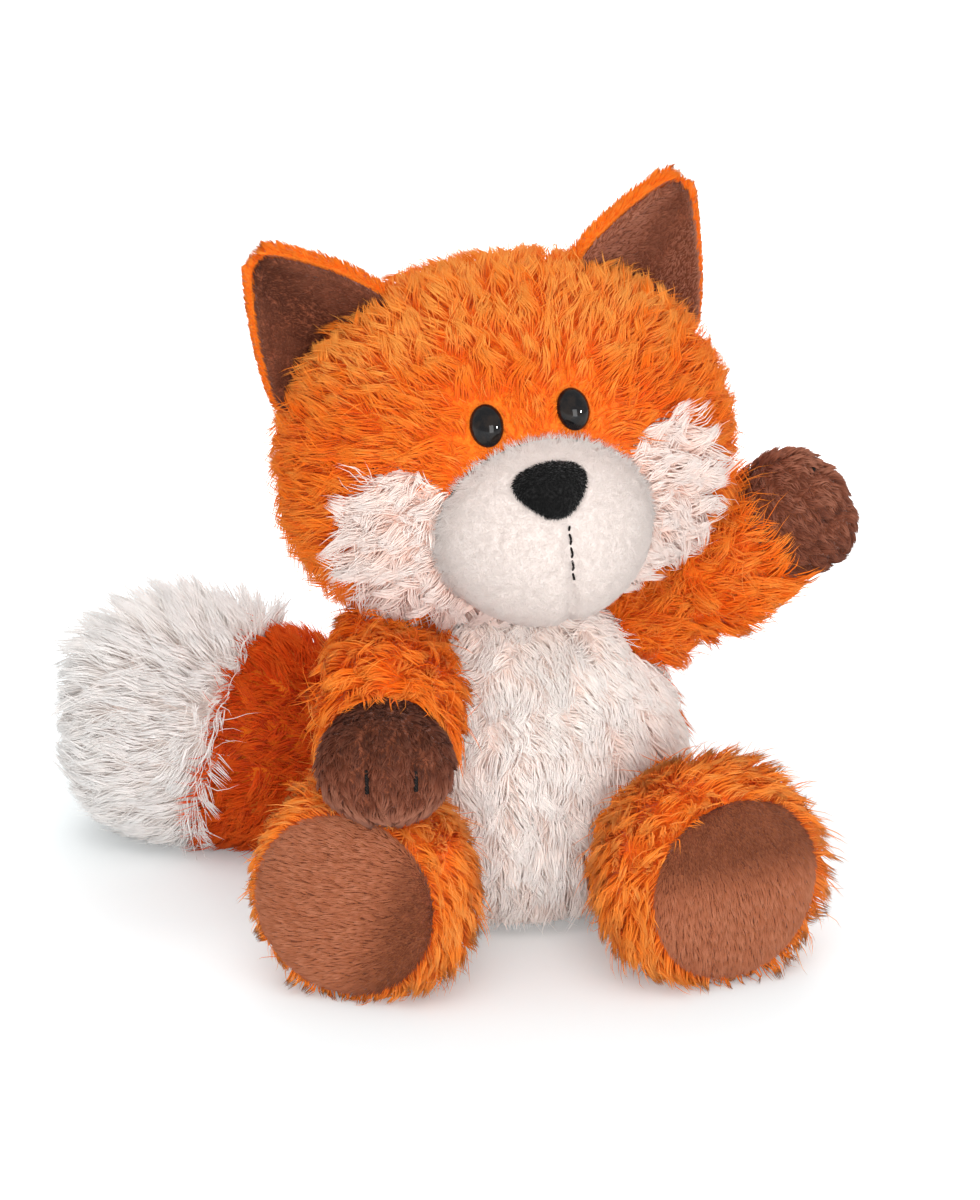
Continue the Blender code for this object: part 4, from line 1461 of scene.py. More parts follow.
@dataclass
class Body:
    """The white belly panel and the orange back panel."""

    seam_back: float = 3.0
    limb_room: float = 1.2
    head_overlap: float = 1.0
    floor_room: float = 1.5

    def panel(self, name: str, facing: Vector, finish: BackingFinish) -> bpy.types.Object:
        """One panel, with the limbs' seats and the far side cut away.

        Args:
            name: The panel's name.
            facing: The side that it covers.
            finish: Its finish.

        Returns:
            The piece.
        """
        form = trimmed(TORSO.form(), UP * (TORSO.neck - SEAM_GAP / 2) * MM, UP)
        seam = Vector((TORSO.middle[0], TORSO.middle[1] + self.seam_back, 0)) + facing * SEAM_GAP / 2
        obj = piece(name, form, "body", finish)
        cuts = [("DIFFERENCE", seat(limb)) for limb in LIMBS]
        carve(obj, SKIN_THICKNESS, ("DIFFERENCE", block(seam * MM, -facing)), *cuts)
        return obj

    def keep(self, front: bool, points: Array) -> Array:
        """Roots on one panel, clear of the head, the limbs and the floor.

        Args:
            front: Whether the panel is the belly's.
            points: The roots.

        Returns:
            Which are kept.
        """
        seam = (TORSO.middle[1] + self.seam_back) * MM
        near = np.minimum.reduce([limb.depth(points) for limb in LIMBS])
        clear = (near > self.limb_room) & (SKULL.depth(points) > -self.head_overlap)
        clear &= points[:, 2] > self.floor_room * MM
        return clear & ((points[:, 1] < seam) == front) & (points[:, 2] < TORSO.neck * MM)

    def belly_grain(self, points: Array, normals: Array) -> Grain:
        """The belly's pile: curly under the chin, and hanging in long wisps lower down.

        Args:
            points: The roots.
            normals: The normals there, which are not used.

        Returns:
            How the pile lies.
        """
        height = points[:, 2] / MM
        low = rising(height, 62, 32)
        across = (points[:, 0] / MM - TORSO.middle[0]) / TORSO.half_width
        lean = np.stack([0.5 * across, np.full(len(points), -0.1), np.full(len(points), -1.0)], 1)
        length = (7.0 + 2.5 * low) * np.where(height < 10, 0.7, 1)
        # Painted shade: darker low down, at the sides and under the chin
        shaded = 0.36 * rising(height, 26, 4) + 0.16 * rising(np.abs(across), 0.5, 0.9)
        shaded += 0.18 * rising(height, 66, 76)
        return Grain(unit(lean), length, 24 - 6 * low, 60 - 32 * low, 0.66 - shaded)

    def back_grain(self, points: Array, normals: Array) -> Grain:
        """The back's pile, combed down, at roots with their normals."""
        return Grain(np.array((0.0, 0.1, -1.0)), 7.5, 36, 40, 0.5)

    def build(self) -> list[bpy.types.Object]:
        """Builds the body.

        Returns:
            Its pieces.
        """
        made = [
            self.panel("belly_panel", FORWARD, WHITE_BACKING),
            self.panel("back_panel", -FORWARD, ORANGE_BACKING),
        ]
        surface = Surface.of(TORSO.form())
        soft = Pile(
            1.75, 0.66, 3, tuft=4.6, gather=0.5, curl=0.4, uneven=0.12, bend=14, tone_spread=0.05,
            crown=0.06, softness=0.3,
        )
        plain = replace(LONG_PILE, per_mm2=1.5, width=0.5)
        for name, pile, grain, front, finish, slot, seed in (
            ("belly_fur", soft, self.belly_grain, True, WHITE_FUR, "white_plush", 11),
            ("back_fur", plain, self.back_grain, False, ORANGE_FUR, "orange_plush", 12),
        ):
            keep = partial(self.keep, front)
            fur = Fur(name, surface, pile, grain, keep, finish, "body", slot, seed=seed)
            made += fur.grow_with_wisps()
        return made


@dataclass
class Tube:
    """A limb's near and far skins and their pile."""

    limb: Limb
    body: str
    near: str
    far: str
    way: Vector
    seam: float
    near_looks: tuple[BackingFinish, FurFinish, str]
    far_looks: tuple[BackingFinish, FurFinish, str]
    seam_way: Vector | None = None
    pad: bool = False
    tucked: float = 4.0
    floor_room: float = 0.8

    @property
    def cut(self) -> Vector:
        """The middle of the seam between the skins."""
        return self.limb.joint + self.way * self.seam * MM

    @property
    def normal(self) -> Vector:
        """The way out of the near skin at the seam."""
        return self.seam_way or self.way

    def skins(self, far_form: BMesh | None = None) -> list[bpy.types.Object]:
        """Makes both skins, thick where they are shells and solid where the far one is a pad.

        Args:
            far_form: The form that the far one is cut from, which is the limb's unless it is given.

        Returns:
            The skins.
        """
        gap = self.normal * SEAM_GAP / 2 * MM
        near = trimmed(self.limb.form(), self.cut - gap, self.normal)
        backing, _, slot = self.near_looks
        made = [carve(piece(self.near, near, self.body, backing), SKIN_THICKNESS)]
        far = trimmed(far_form or self.limb.form(), self.cut + gap, -self.normal, close=self.pad)
        backing, _, slot = self.far_looks
        made.append(piece(self.far, far, self.body, backing))
        if not self.pad:
            carve(made[-1], SKIN_THICKNESS)
        return made

    def keep(self, far: bool, points: Array) -> Array:
        """Roots on one side of the seam, clear of the head and the floor, and not deep in the body.

        Args:
            far: Whether it is the far skin's side.
            points: The roots.

        Returns:
            Which are kept.
        """
        beyond = (points - np.array(self.cut)) @ np.array(self.normal) > 0
        clear = (TORSO.depth(points) > -self.tucked) & (SKULL.depth(points) > 0)
        return (beyond == far) & clear & (points[:, 2] > self.floor_room * MM)

    @staticmethod
    def lying(grain: Rule, points: Array, normals: Array) -> Grain:
        """The pile, short and flat where the body holds it, which shows when the limb swings.

        Args:
            grain: How it lies outside the body.
            points: The roots.
            normals: The normals there.

        Returns:
            How it lies.
        """
        made = grain(points, normals)
        out = rising(TORSO.depth(points), -0.5, 2.0)
        return replace(made, length=made.length * (0.3 + 0.7 * out), rise=made.rise * (0.1 + 0.9 * out))

    def fur(
        self,
        far: bool,
        name: str,
        pile: Pile,
        grain: Rule,
        seed: int,
        form: BMesh | None = None,
        longer: float = 0.0,
    ) -> list[bpy.types.Object]:
        """Grows one skin's pile.

        Args:
            far: Whether it is the far skin's.
            name: The fur's name.
            pile: Its kind.
            grain: How it lies.
            seed: Its seed.
            form: The form that it grows on, which is the limb's unless it is given.
            longer: The length of its wisps as a share of its own, or zero for none.

        Returns:
            The fur's pieces.
        """
        _, finish, slot = self.far_looks if far else self.near_looks
        surface = Surface.of(form or self.limb.form())
        rules = (partial(self.lying, grain), partial(self.keep, far))
        fur = Fur(name, surface, pile, *rules, finish, self.body, slot, seed=seed)
        return fur.grow_with_wisps(longer) if longer else fur.grow()


@dataclass
class Stitch:
    """A sewn thread over the plush."""

    name: str
    points: list[Vector]
    body: str
    radius: float

    def build(self) -> bpy.types.Object:
        """Builds the thread.

        Returns:
            The piece.
        """
        form = bmesh.new()
        bmesh.ops.create_circle(form, cap_ends=True, segments=8, radius=self.radius * MM)
        ways = [after - before for before, after in zip(self.points, self.points[1:])]
        places = [
            Matrix.Translation(point) @ way.to_track_quat("Z", "Y").to_matrix().to_4x4()
            for point, way in zip(self.points, [*ways, ways[-1]])
        ]
        moved(form, places[0])
        face = form.faces[:][0]
        for before, place in zip(places, places[1:]):
            face = bmesh.ops.extrude_discrete_faces(form, faces=[face])["faces"][0]
            bmesh.ops.transform(form, matrix=place @ before.inverted(), verts=face.verts[:])
        return piece(self.name, welded(form), self.body, STITCH_THREAD)


@dataclass
class Arm:
    """An arm with a brown paw, and the two stitches that part its toes."""

    side: Side
    paw_seam: float = 34.5
    paw_end: float = 45.5
    stitch_spacing: float = 11.0
    stitch_length: float = 6.5
    stitch_shift: float = 1.8
    toe_depth: float = 2.0
    toe_width: float = 1.7

    def tube(self) -> Tube:
        """The arm's skins and pile.

        Returns:
            The tube.
        """
        name = self.side.label
        return Tube(
            ARMS[self.side],
            f"arm_{name}",
            f"arm_skin_{name}",
            f"paw_skin_{name}",
            ARM_WAYS[self.side],
            self.paw_seam,
            (ORANGE_BACKING, ORANGE_FUR, "orange_plush"),
            (BROWN_BACKING, PAW_FUR, "brown_plush"),
        )

    def from_stitches(self, points: Array) -> Array:
        """How far points of the paw are from the lines of its stitches.

        Args:
            points: Rows in metres.

        Returns:
            Millimetres.
        """
        x, y, z = ARMS[self.side].local(points).T
        beside = np.abs(np.abs(x - self.stitch_shift) - self.stitch_spacing / 2)
        past = np.maximum(-1 - y, 0) + np.maximum(self.paw_end + 3 - z, 0)
        return np.hypot(beside, past)

    def paw_form(self) -> BMesh:
        """The arm's form, drawn in between the toes.

        Returns:
            The form.
        """
        form = ARMS[self.side].form(72, 18, 8)
        away = self.from_stitches(np.array([vert.co for vert in form.verts])) / self.toe_width
        return grown(form, -self.toe_depth * np.exp(-away * away))

    def sleeve_grain(self, points: Array, normals: Array) -> Grain:
        """The sleeve's pile, tousled and leaning towards the paw.

        Args:
            points: The roots.
            normals: The normals there, which are not used.

        Returns:
            How the pile lies.
        """
        lean = np.array(ARM_WAYS[self.side]) + 0.25 * DOWN
        reach = ARMS[self.side].local(points)[:, 2]
        length = 7.2 + 2.2 * rising(reach, 18, 32)
        return Grain(lean, length, 34 - 14 * rising(reach, 26, 34), 62, 0.58)

    def paw_grain(self, points: Array, normals: Array) -> Grain:
        """The paw's short pile, laid towards its end, with painted light on the left paw's top, painted shade
        on the right paw's top and in the creases by the stitches.

        Args:
            points: The roots.
            normals: The normals there.

        Returns:
            How the pile lies.
        """
        lean = np.array(ARM_WAYS[self.side]) * 0.6 + np.array((0.0, -0.2, -0.7))
        # Painted light and shade: the right paw darker on top and the left one lighter on top, as light
        # falls; darker near the stitches as painted shade in the creases
        lit = -0.6 if self.side is Side.RIGHT else 0.3
        near = rising(self.from_stitches(points), 0, 2.6)
        tone = 0.32 + 0.2 * near + lit * normals[:, 2]
        return Grain(lean, 3.0 * (0.5 + 0.5 * near), 30, 25, tone)

    def stitches(self) -> list[bpy.types.Object]:
        """The toe stitches, each drawn tight over the end of the paw.

        Returns:
            Their pieces.
        """
        limb = ARMS[self.side]
        tree = BVHTree.FromBMesh(grown(self.paw_form(), 0.5))
        made = []
        for label, place in (("inner", -1), ("outer", 1)):
            across = self.stitch_shift + place * self.stitch_spacing / 2
            start = Vector((across, 0, self.paw_end)) * MM
            points = []
            for share in np.linspace(0, 1, 13):
                swing = share * self.stitch_length / 12
                away = Vector((0, math.sin(swing), math.cos(swing))) * 60 * MM
                far, near = limb.place @ (start + away), limb.place @ start
                points.append(tree.ray_cast(far, (near - far).normalized())[0])
            name = f"toe_stitch_{label}_{self.side.label}"
            made.append(Stitch(name, points, f"arm_{self.side.label}", 0.5).build())
        return made

    def build(self) -> list[bpy.types.Object]:
        """Builds the arm.

        Returns:
            Its pieces.
        """
        tube = self.tube()
        name = self.side.label
        sleeve = replace(LONG_PILE, rings=3, tuft=3.4, gather=0.75, curl=0.45, uneven=0.28)
        paw = replace(LONG_PILE, per_mm2=3.2, width=0.4, tuft=2.2, bend=14)
        seed = 20 + self.side.value
        made = tube.skins(self.paw_form())
        made += tube.fur(False, f"arm_fur_{name}", sleeve, self.sleeve_grain, seed, longer=1.3)
        made += tube.fur(True, f"paw_fur_{name}", paw, self.paw_grain, seed + 5, self.paw_form())
        return made + self.stitches()


@dataclass
class Leg:
    """A leg with a round brown sole."""

    side: Side
    sole_reach: float = 46.0

    def tube(self) -> Tube:
        """The leg's skins and pile.

        Returns:
            The tube.
        """
        name = self.side.label
        return Tube(
            LEGS[self.side],
            f"leg_{name}",
            f"leg_skin_{name}",
            f"sole_pad_{name}",
            LEG_WAYS[self.side],
            self.sole_reach,
            (ORANGE_BACKING, PAINTED_LIGHT_LEG_FUR, "orange_plush"),
            (BROWN_BACKING, SOLE_FUR, "brown_plush"),
            pad=True,
        )

    def leg_grain(self, points: Array, normals: Array) -> Grain:
        """The leg's shaggy pile, which stands out round the sole and hangs towards the floor.

        Args:
            points: The roots.
            normals: The normals there, which are not used.

        Returns:
            How the pile lies.
        """
        x, _, reach = LEGS[self.side].local(points).T
        ring = rising(reach, 28, 44)
        tucked = 0.45 * rising(x, -6, -18) * (self.side is Side.RIGHT)
        lean = np.array(LEG_WAYS[self.side]) * (0.9 - 0.5 * ring[:, None]) + 0.45 * DOWN
        low = rising(points[:, 2] / MM, 8, 0)
        length = (8.2 - 1.0 * ring - 2.5 * low) * (1 - tucked)
        return Grain(lean, length, 34 + 12 * ring, 50, 0.62)

    def sole_grain(self, points: Array, normals: Array) -> Grain:
        """The sole's short pile, brushed one way, standing up at one edge, where it is painted darker as
        shade.

        Args:
            points: The roots.
            normals: The normals there, which are not used.

        Returns:
            How the pile lies.
        """
        limb = LEGS[self.side]
        x, y, _ = limb.local(points).T
        if self.side is Side.LEFT:
            lean = DOWN
            edge = rising(y, -1, 12)
        else:
            lean = -np.array(limb.place)[:3, 0] - 0.15 * DOWN
            edge = rising(0.9 * x - 0.35 * y, 4, 17)
        # The tone at the edge is painted shade
        return Grain(lean, 2.1, 26 + 20 * edge, 14, 0.64 - 0.58 * edge)

    def build(self) -> list[bpy.types.Object]:
        """Builds the leg.

        Returns:
            Its pieces.
        """
        tube = self.tube()
        name = self.side.label
        shaggy = replace(LONG_PILE, tuft=3.4, gather=0.72, curl=0.4, uneven=0.28)
        sole = replace(SHORT_PILE, per_mm2=6.5, width=0.3, tuft=1.4)
        seed = 40 + self.side.value
        made = tube.skins()
        made += tube.fur(False, f"leg_fur_{name}", shaggy, self.leg_grain, seed, longer=1.3)
        return made + tube.fur(True, f"sole_fur_{name}", sole, self.sole_grain, seed + 5)


@dataclass
class Tail:
    """The tail, orange to its leaning seam and long and white beyond."""

    seam: float = 48.0
    seam_lean: float = 14.0

    def tube(self) -> Tube:
        """The tail's skins and pile.

        Returns:
            The tube.
        """
        return Tube(
            TAIL,
            "tail",
            "tail_skin",
            "tail_tip",
            TAIL_WAY,
            self.seam,
            (ORANGE_BACKING, PAINTED_SHADE_TAIL_FUR, "orange_plush"),
            (WHITE_BACKING, TIP_FUR, "white_plush"),
            heading(Side.RIGHT, TAIL_BEARING, self.seam_lean),
        )

    def root_grain(self, points: Array, normals: Array) -> Grain:
        """The orange pile, laid towards the tip, at roots with their normals."""
        # The low tone paints the tail's orange darker still, as painted shade
        return Grain(np.array(TAIL_WAY) + 0.3 * DOWN, 6.5, 32, 45, 0.42)

    def tip_grain(self, points: Array, normals: Array) -> Grain:
        """The long white pile, flowing to the tip, standing up on top and falling over the seam.

        Args:
            points: The roots.
            normals: The normals there.

        Returns:
            How the pile lies.
        """
        tube = self.tube()
        edge = rising((points - np.array(tube.cut)) @ np.array(tube.normal) / MM, 9, 0)
        top = rising(normals[:, 2], 0.2, 0.9)
        low = rising(points[:, 2] / MM, 10, 0)
        lean = np.array(TAIL_WAY) * (1 - 1.1 * edge[:, None]) + 0.12 * DOWN
        length = 8.5 + 4.0 * top - 3.0 * low
        return Grain(lean, length, 26 + 32 * top + 8 * edge, 26 + 30 * edge, 0.6)

    def build(self) -> list[bpy.types.Object]:
        """Builds the tail.

        Returns:
            Its pieces.
        """
        tube = self.tube()
        made = tube.skins()
        root = replace(LONG_PILE, tuft=3.2)
        made += tube.fur(False, "tail_fur", root, self.root_grain, 61, longer=1.3)
        tip = replace(LONG_PILE, tuft=3.4, gather=0.66, curl=0.25, uneven=0.28)
        return made + tube.fur(True, "tail_tip_fur", tip, self.tip_grain, 62, longer=1.35)


@dataclass
class Head:
    """The head: its skins, muzzle, nose, mouth, eyes and the pile on them."""

    eye_spacing: float = 20.0
    eye_raise: float = 13.4
    eye_half: tuple[float, float] = (3.9, 5.0)
    eye_dome: float = 3.0
    nose_half: tuple[float, float] = (9.6, 6.6)
    nose_raise: float = 13.4
    nose_narrowing: float = 0.42
    nose_thickness: float = 2.6
    mouth_length: float = 12.5
    mouth_dashes: int = 4
    mouth_drop: float = 2.0
    mouth_room: float = 0.7
    far_off: float = 110.0
    eye_room: Size = (4.3, 6.0, 5.4)
    muzzle_room: float = 0.2
    chin_top: float = -14.0
    chin_reach: float = 9.0
    nose_nap_from: float = 0.6

    @staticmethod
    def skull_form() -> BMesh:
        """The head's form down to the neck seam."""
        return trimmed(SKULL.form(72, 40), NECK + UP * SEAM_GAP / 2 * MM, -UP)

    @staticmethod
    def muzzle_hole() -> tuple[str, BMesh]:
        """The cut that lets the muzzle in."""
        return ("DIFFERENCE", grown(MUZZLE.form(48, 24), SEAM_GAP))

    def skins(self) -> list[bpy.types.Object]:
        """The head skin, the cheek patches and the muzzle, let into each other as they are sewn.

        Returns:
            Their pieces.
        """
        head = piece("head_skin", self.skull_form(), "head", ORANGE_BACKING)
        openings = [("DIFFERENCE", PLAN.cheek(side, SEAM_GAP / 2).form(32, 16)) for side in Side]
        made = [carve(head, SKIN_THICKNESS, self.muzzle_hole(), *openings)]
        for side in Side:
            name = f"cheek_patch_{side.label}"
            patch = piece(name, self.skull_form(), "head", WHITE_BACKING)
            outline = ("INTERSECT", PLAN.cheek(side, -SEAM_GAP / 2).form(32, 16))
            made.append(carve(patch, SKIN_THICKNESS, outline, self.muzzle_hole()))
        muzzle = piece("muzzle_skin", PLAN.muzzle_form(), "head", MUZZLE_BACKING)
        hollow = ("DIFFERENCE", grown(MUZZLE.form(48, 24), -SKIN_THICKNESS - PLAN.seam_depth))
        skull = ("DIFFERENCE", grown(SKULL.form(48, 24), SEAM_GAP))
        made.append(carve(muzzle, 0, hollow, skull))
        return made

    def seated(self, ball: Ball, steps: int, rings: int, x: float, z: float) -> Matrix:
        """Where something sits on the front of a form about the head's middle.

        Args:
            ball: The form.
            steps: Its faces round.
            rings: Its faces from pole to pole.
            x: Millimetres to the fox's left of the head's middle.
            z: Millimetres above it.

        Returns:
            The frame about the head's middle, with +Z out of the form.
        """
        tree = BVHTree.FromBMesh(ball.form(steps, rings))
        place, normal, _, _ = tree.ray_cast(Vector((x, -self.far_off, z)) * MM, -FORWARD)
        return aim(place, normal)

    def eye_frame(self, side: Side) -> Matrix:
        """Where an eye stands, about the head's middle."""
        across = side.value * self.eye_spacing / 2
        return self.seated(PLAN.skull(Matrix()), 72, 40, across, self.eye_raise)

    def eyes(self) -> list[bpy.types.Object]:
        """The polished oval eyes on their shanks.

        Returns:
            Their pieces.
        """
        made = []
        wide, tall = self.eye_half
        for side in Side:
            profile = [(0, -8), (1.5, -8), (1.8, -7.7), (1.8, 0.2), (3.5, 0.2), (3.85, 0.35)]
            for ring in range(1, 13):
                angle = math.pi / 2 * ring / 12
                radius = wide * math.cos(angle) if ring < 12 else 0
                profile.append((radius, 0.5 + self.eye_dome * math.sin(angle)))
            form = spun(profile, 40)
            for vert in form.verts:
                if vert.co.z > 0.1 * MM:
                    away = rising(np.array(vert.co.xy.length / MM), 1.8, 2.4)
                    vert.co.y *= 1 + (tall / wide - 1) * float(max(away, vert.co.z > 0.6 * MM))
            moved(form, PLAN.pose @ self.eye_frame(side))
            made.append(piece(f"eye_{side.label}", form, "head", EYE_PLASTIC))
        return made

    def nose_frame(self) -> Matrix:
        """Where the nose sits on the muzzle, about the head's middle."""
        muzzle = PLAN.muzzle(Matrix.Translation(Vector(PLAN.muzzle_middle) * MM))
        return self.seated(muzzle, 64, 32, 0, PLAN.muzzle_middle[2] + self.nose_raise)

    def narrowed(self, y: Array) -> Array:
        """The nose's half width at places up it, from -1 to 1."""
        return self.nose_half[0] * (1 - self.nose_narrowing * rising(y, 1, -1))

    def nose(self) -> bpy.types.Object:
        """The padded nose, a pillow pressed onto the muzzle.

        Returns:
            The piece.
        """
        form = bmesh.new()
        bmesh.ops.create_uvsphere(form, u_segments=48, v_segments=24, radius=1)
        tree = BVHTree.FromBMesh(MUZZLE.form(64, 32))
        place = PLAN.pose @ self.nose_frame()
        way = (place.to_3x3() @ -UP).normalized()
        for vert in form.verts:
            x, y, z = vert.co
            squared = 1 + 0.22 * max(y, 0) ** 3
            across = x * float(self.narrowed(np.array(y))) * squared
            ahead = place @ (Vector((across, y * self.nose_half[1], 30)) * MM)
            hit, normal, _, _ = tree.ray_cast(ahead, way)
            dome = self.nose_thickness * max(z, 0) ** 0.7
            vert.co = hit + normal * (SEAM_GAP + dome) * MM
        bmesh.ops.recalc_face_normals(form, faces=form.faces)
        return piece("nose", form, "head", NOSE_BACKING)

    def mouth(self) -> bpy.types.Object:
        """The mouth's running stitch, which shows as dashes in the muzzle's middle seam.

        Returns:
            The piece.
        """
        tree = BVHTree.FromBMesh(PLAN.muzzle_form())
        way = (PLAN.pose.to_3x3() @ -FORWARD).normalized()
        points = []
        for share in np.linspace(0, 1, 49):
            z = PLAN.seam_top - self.mouth_drop - self.mouth_length * share
            start = PLAN.pose @ (Vector((float(PLAN.seam_x(z)), -self.far_off, z)) * MM)
            hit, normal, _, _ = tree.ray_cast(start, way)
            lift = 0.2 + 0.6 * math.cos(math.tau * self.mouth_dashes * share)
            points.append(hit + normal * lift * MM)
        return Stitch("mouth_stitch", points, "head", 0.28).build()

    def head_grain(self, points: Array, normals: Array) -> Grain:
        """The head's pile, which radiates from the middle of the face, grows longer to the jaw and is painted
        lighter on the crown as top light.

        Args:
            points: The roots.
            normals: The normals there, which are not used.

        Returns:
            How the pile lies.
        """
        local = PLAN.local(points)
        _, y, z = local.T
        back, jaw = rising(y, -8, 22), rising(z, 2, -22)
        lean = unit(local - (0, -40, -4)) + np.outer(back, (0, 0, -1.3)) + np.outer(jaw, (0, 0.1, -0.5))
        crown = rising(z, 12, 30) * (1 - back)
        near = rising(MUZZLE.depth(points), -0.5, 12.5)
        eyes = np.minimum(*[np.linalg.norm(self.from_eye(side, local), axis=1) for side in Side])
        beside = 0.4 + 0.6 * rising(eyes, 4, 13)
        length = (3.0 + 4.6 * near - 1.4 * crown + 2.0 * jaw) * beside
        rise = 32 + 16 * crown + 4 * jaw - 6 * (1 - near)
        scatter = (38 + 16 * crown + 22 * jaw) * beside
        # The tone is painted lighter on the crown, as painted top light
        return Grain(turned_with(PLAN.pose, lean), length, rise, scatter, 0.52 + 0.32 * crown)

    def from_eye(self, side: Side, local: Array) -> Array:
        """Rows of millimetres from an eye to places about the head's middle."""
        return local - np.array(self.eye_frame(side).translation) / MM

    def cheek_grain(self, points: Array, normals: Array) -> Grain:
        """A cheek's long pile, which sweeps outwards from the muzzle in curling wisps.

        Args:
            points: The roots.
            normals: The normals there, which are not used.

        Returns:
            How the pile lies.
        """
        lean = unit(PLAN.local(points) - PLAN.muzzle_middle) + (0, 0.1, -0.35)
        length = 5.5 + 4.5 * rising(MUZZLE.depth(points), 0, 16)
        return Grain(turned_with(PLAN.pose, lean), length, 36, 46, 0.6)

    def muzzle_grain(self, points: Array, normals: Array) -> Grain:
        """The muzzle's short nap, brushed back from the nose, longer at the rim and painted lighter there
        against the shade.

        Args:
            points: The roots.
            normals: The normals there, which are not used.

        Returns:
            How the pile lies.
        """
        nose = np.array(self.nose_frame().translation) / MM
        lean = turned_with(PLAN.pose, unit(PLAN.local(points) - nose))
        rim = rising(SKULL.depth(points), 6, 1)
        # The tone is painted light at the rim, against the shade that falls there
        return Grain(lean, 0.9 + 1.8 * rim, 42 + 14 * rim, 110, 0.5 + 0.5 * rim)

    def nose_grain(self, points: Array, normals: Array) -> Grain:
        """The nose's velvet nap, brushed down, at roots with their normals."""
        return Grain(DOWN, 0.9, 40, 60, 0.4)

    def under_chin(self, points: Array) -> Array:
        """Roots beside and below the muzzle's lower edge, where the cheeks' white pile carries on."""
        return (PLAN.local(points)[:, 2] < self.chin_top) & (MUZZLE.depth(points) < self.chin_reach)

    def on_skull(self, points: Array) -> Array:
        """Roots of the orange head skin.

        Args:
            points: The roots.

        Returns:
            Which are kept.
        """
        local = PLAN.local(points)
        cheeks = np.minimum(*[WHITE_ZONES[side].depth(points) for side in Side])
        kept = (MUZZLE.depth(points) > self.muzzle_room) & (cheeks > 0) & (points[:, 2] > NECK.z)
        kept &= ~self.under_chin(points) & (TORSO.depth(points) > -1)
        for side in Side:
            kept &= np.linalg.norm(self.from_eye(side, local) / self.eye_room, axis=1) > 1
        return kept

    def on_cheek(self, side: Side, points: Array) -> Array:
        """Roots in a cheek's outline and off the muzzle.

        Args:
            side: The cheek's side.
            points: The roots.

        Returns:
            Which are kept.
        """
        here = PLAN.local(points)[:, 0] * side.value > 0
        inside = (WHITE_ZONES[side].depth(points) < 0) | (self.under_chin(points) & here)
        return inside & (MUZZLE.depth(points) > self.muzzle_room) & (points[:, 2] > NECK.z)

    def on_muzzle(self, points: Array) -> Array:
        """Roots of the muzzle, off the nose and the mouth's line.

        Args:
            points: The roots.

        Returns:
            Which are kept.
        """
        nose = carried((PLAN.pose @ self.nose_frame()).inverted(), points) / MM
        up = nose[:, 1] / self.nose_half[1]
        off_nose = np.hypot(nose[:, 0] / self.narrowed(up), up) > 0.97
        x, y, z = PLAN.local(points).T
        sewn = (z > PLAN.seam_top - self.mouth_drop - self.mouth_length) & (z < PLAN.seam_top)
        sewn &= (np.abs(x - PLAN.seam_x(z)) < self.mouth_room) & (y < -40)
        return off_nose & (SKULL.depth(points) > self.muzzle_room) & ~sewn

    def on_nose(self, points: Array) -> Array:
        """Roots on the nose's outside."""
        return MUZZLE.depth(points) > self.nose_nap_from

    def build(self) -> list[bpy.types.Object]:
        """Builds the head.

        Returns:
            Its pieces.
        """
        made = self.skins() + self.eyes() + [self.nose(), self.mouth()]
        skull = Surface.of(SKULL.form(72, 40))
        shaggy = replace(LONG_PILE, tuft=3.4, gather=0.68, uneven=0.28, tone_spread=0.15)
        rules = (self.head_grain, self.on_skull)
        looks = (ORANGE_FUR, "head", "orange_plush")
        axis = tuple(PLAN.pose.translation.xy)
        fur = Fur("head_fur", skull, shaggy, *rules, *looks, sectors=3, seed=31, sector_axis=axis)
        made += fur.grow_with_wisps(1.25, 0.3)
        wispy = Pile(
            2.4, 0.5, 3, tuft=3.4, gather=0.8, curl=0.7, uneven=0.28, tone_spread=0.07, crown=0.16
        )
        looks = (CHEEK_FUR, "head", "white_plush")
        for side in Side:
            rules = (self.cheek_grain, partial(self.on_cheek, side))
            fur = Fur(f"cheek_fur_{side.label}", skull, wispy, *rules, *looks, seed=33 + side.value)
            made += fur.grow_with_wisps(1.0, 0.7)
        muzzle = Surface.of(PLAN.muzzle_form())
        nap = replace(
            SHORT_PILE, per_mm2=6.2, width=0.185, gather=0.0, tone_spread=0.04, softness=0.45, crown=0.0
        )
        looks = (MUZZLE_FUR, "head", "muzzle_plush")
        made += Fur("muzzle_fur", muzzle, nap, self.muzzle_grain, self.on_muzzle, *looks, seed=36).grow()
        nose = Surface(bpy.data.objects["nose_plush"].data)
        velvet = replace(SHORT_PILE, per_mm2=9.0, width=0.22, tuft=0.8, gather=0.2)
        looks = (NOSE_FUR, "head", "black_velvet")
        return made + Fur("nose_fur", nose, velvet, self.nose_grain, self.on_nose, *looks, seed=37).grow()


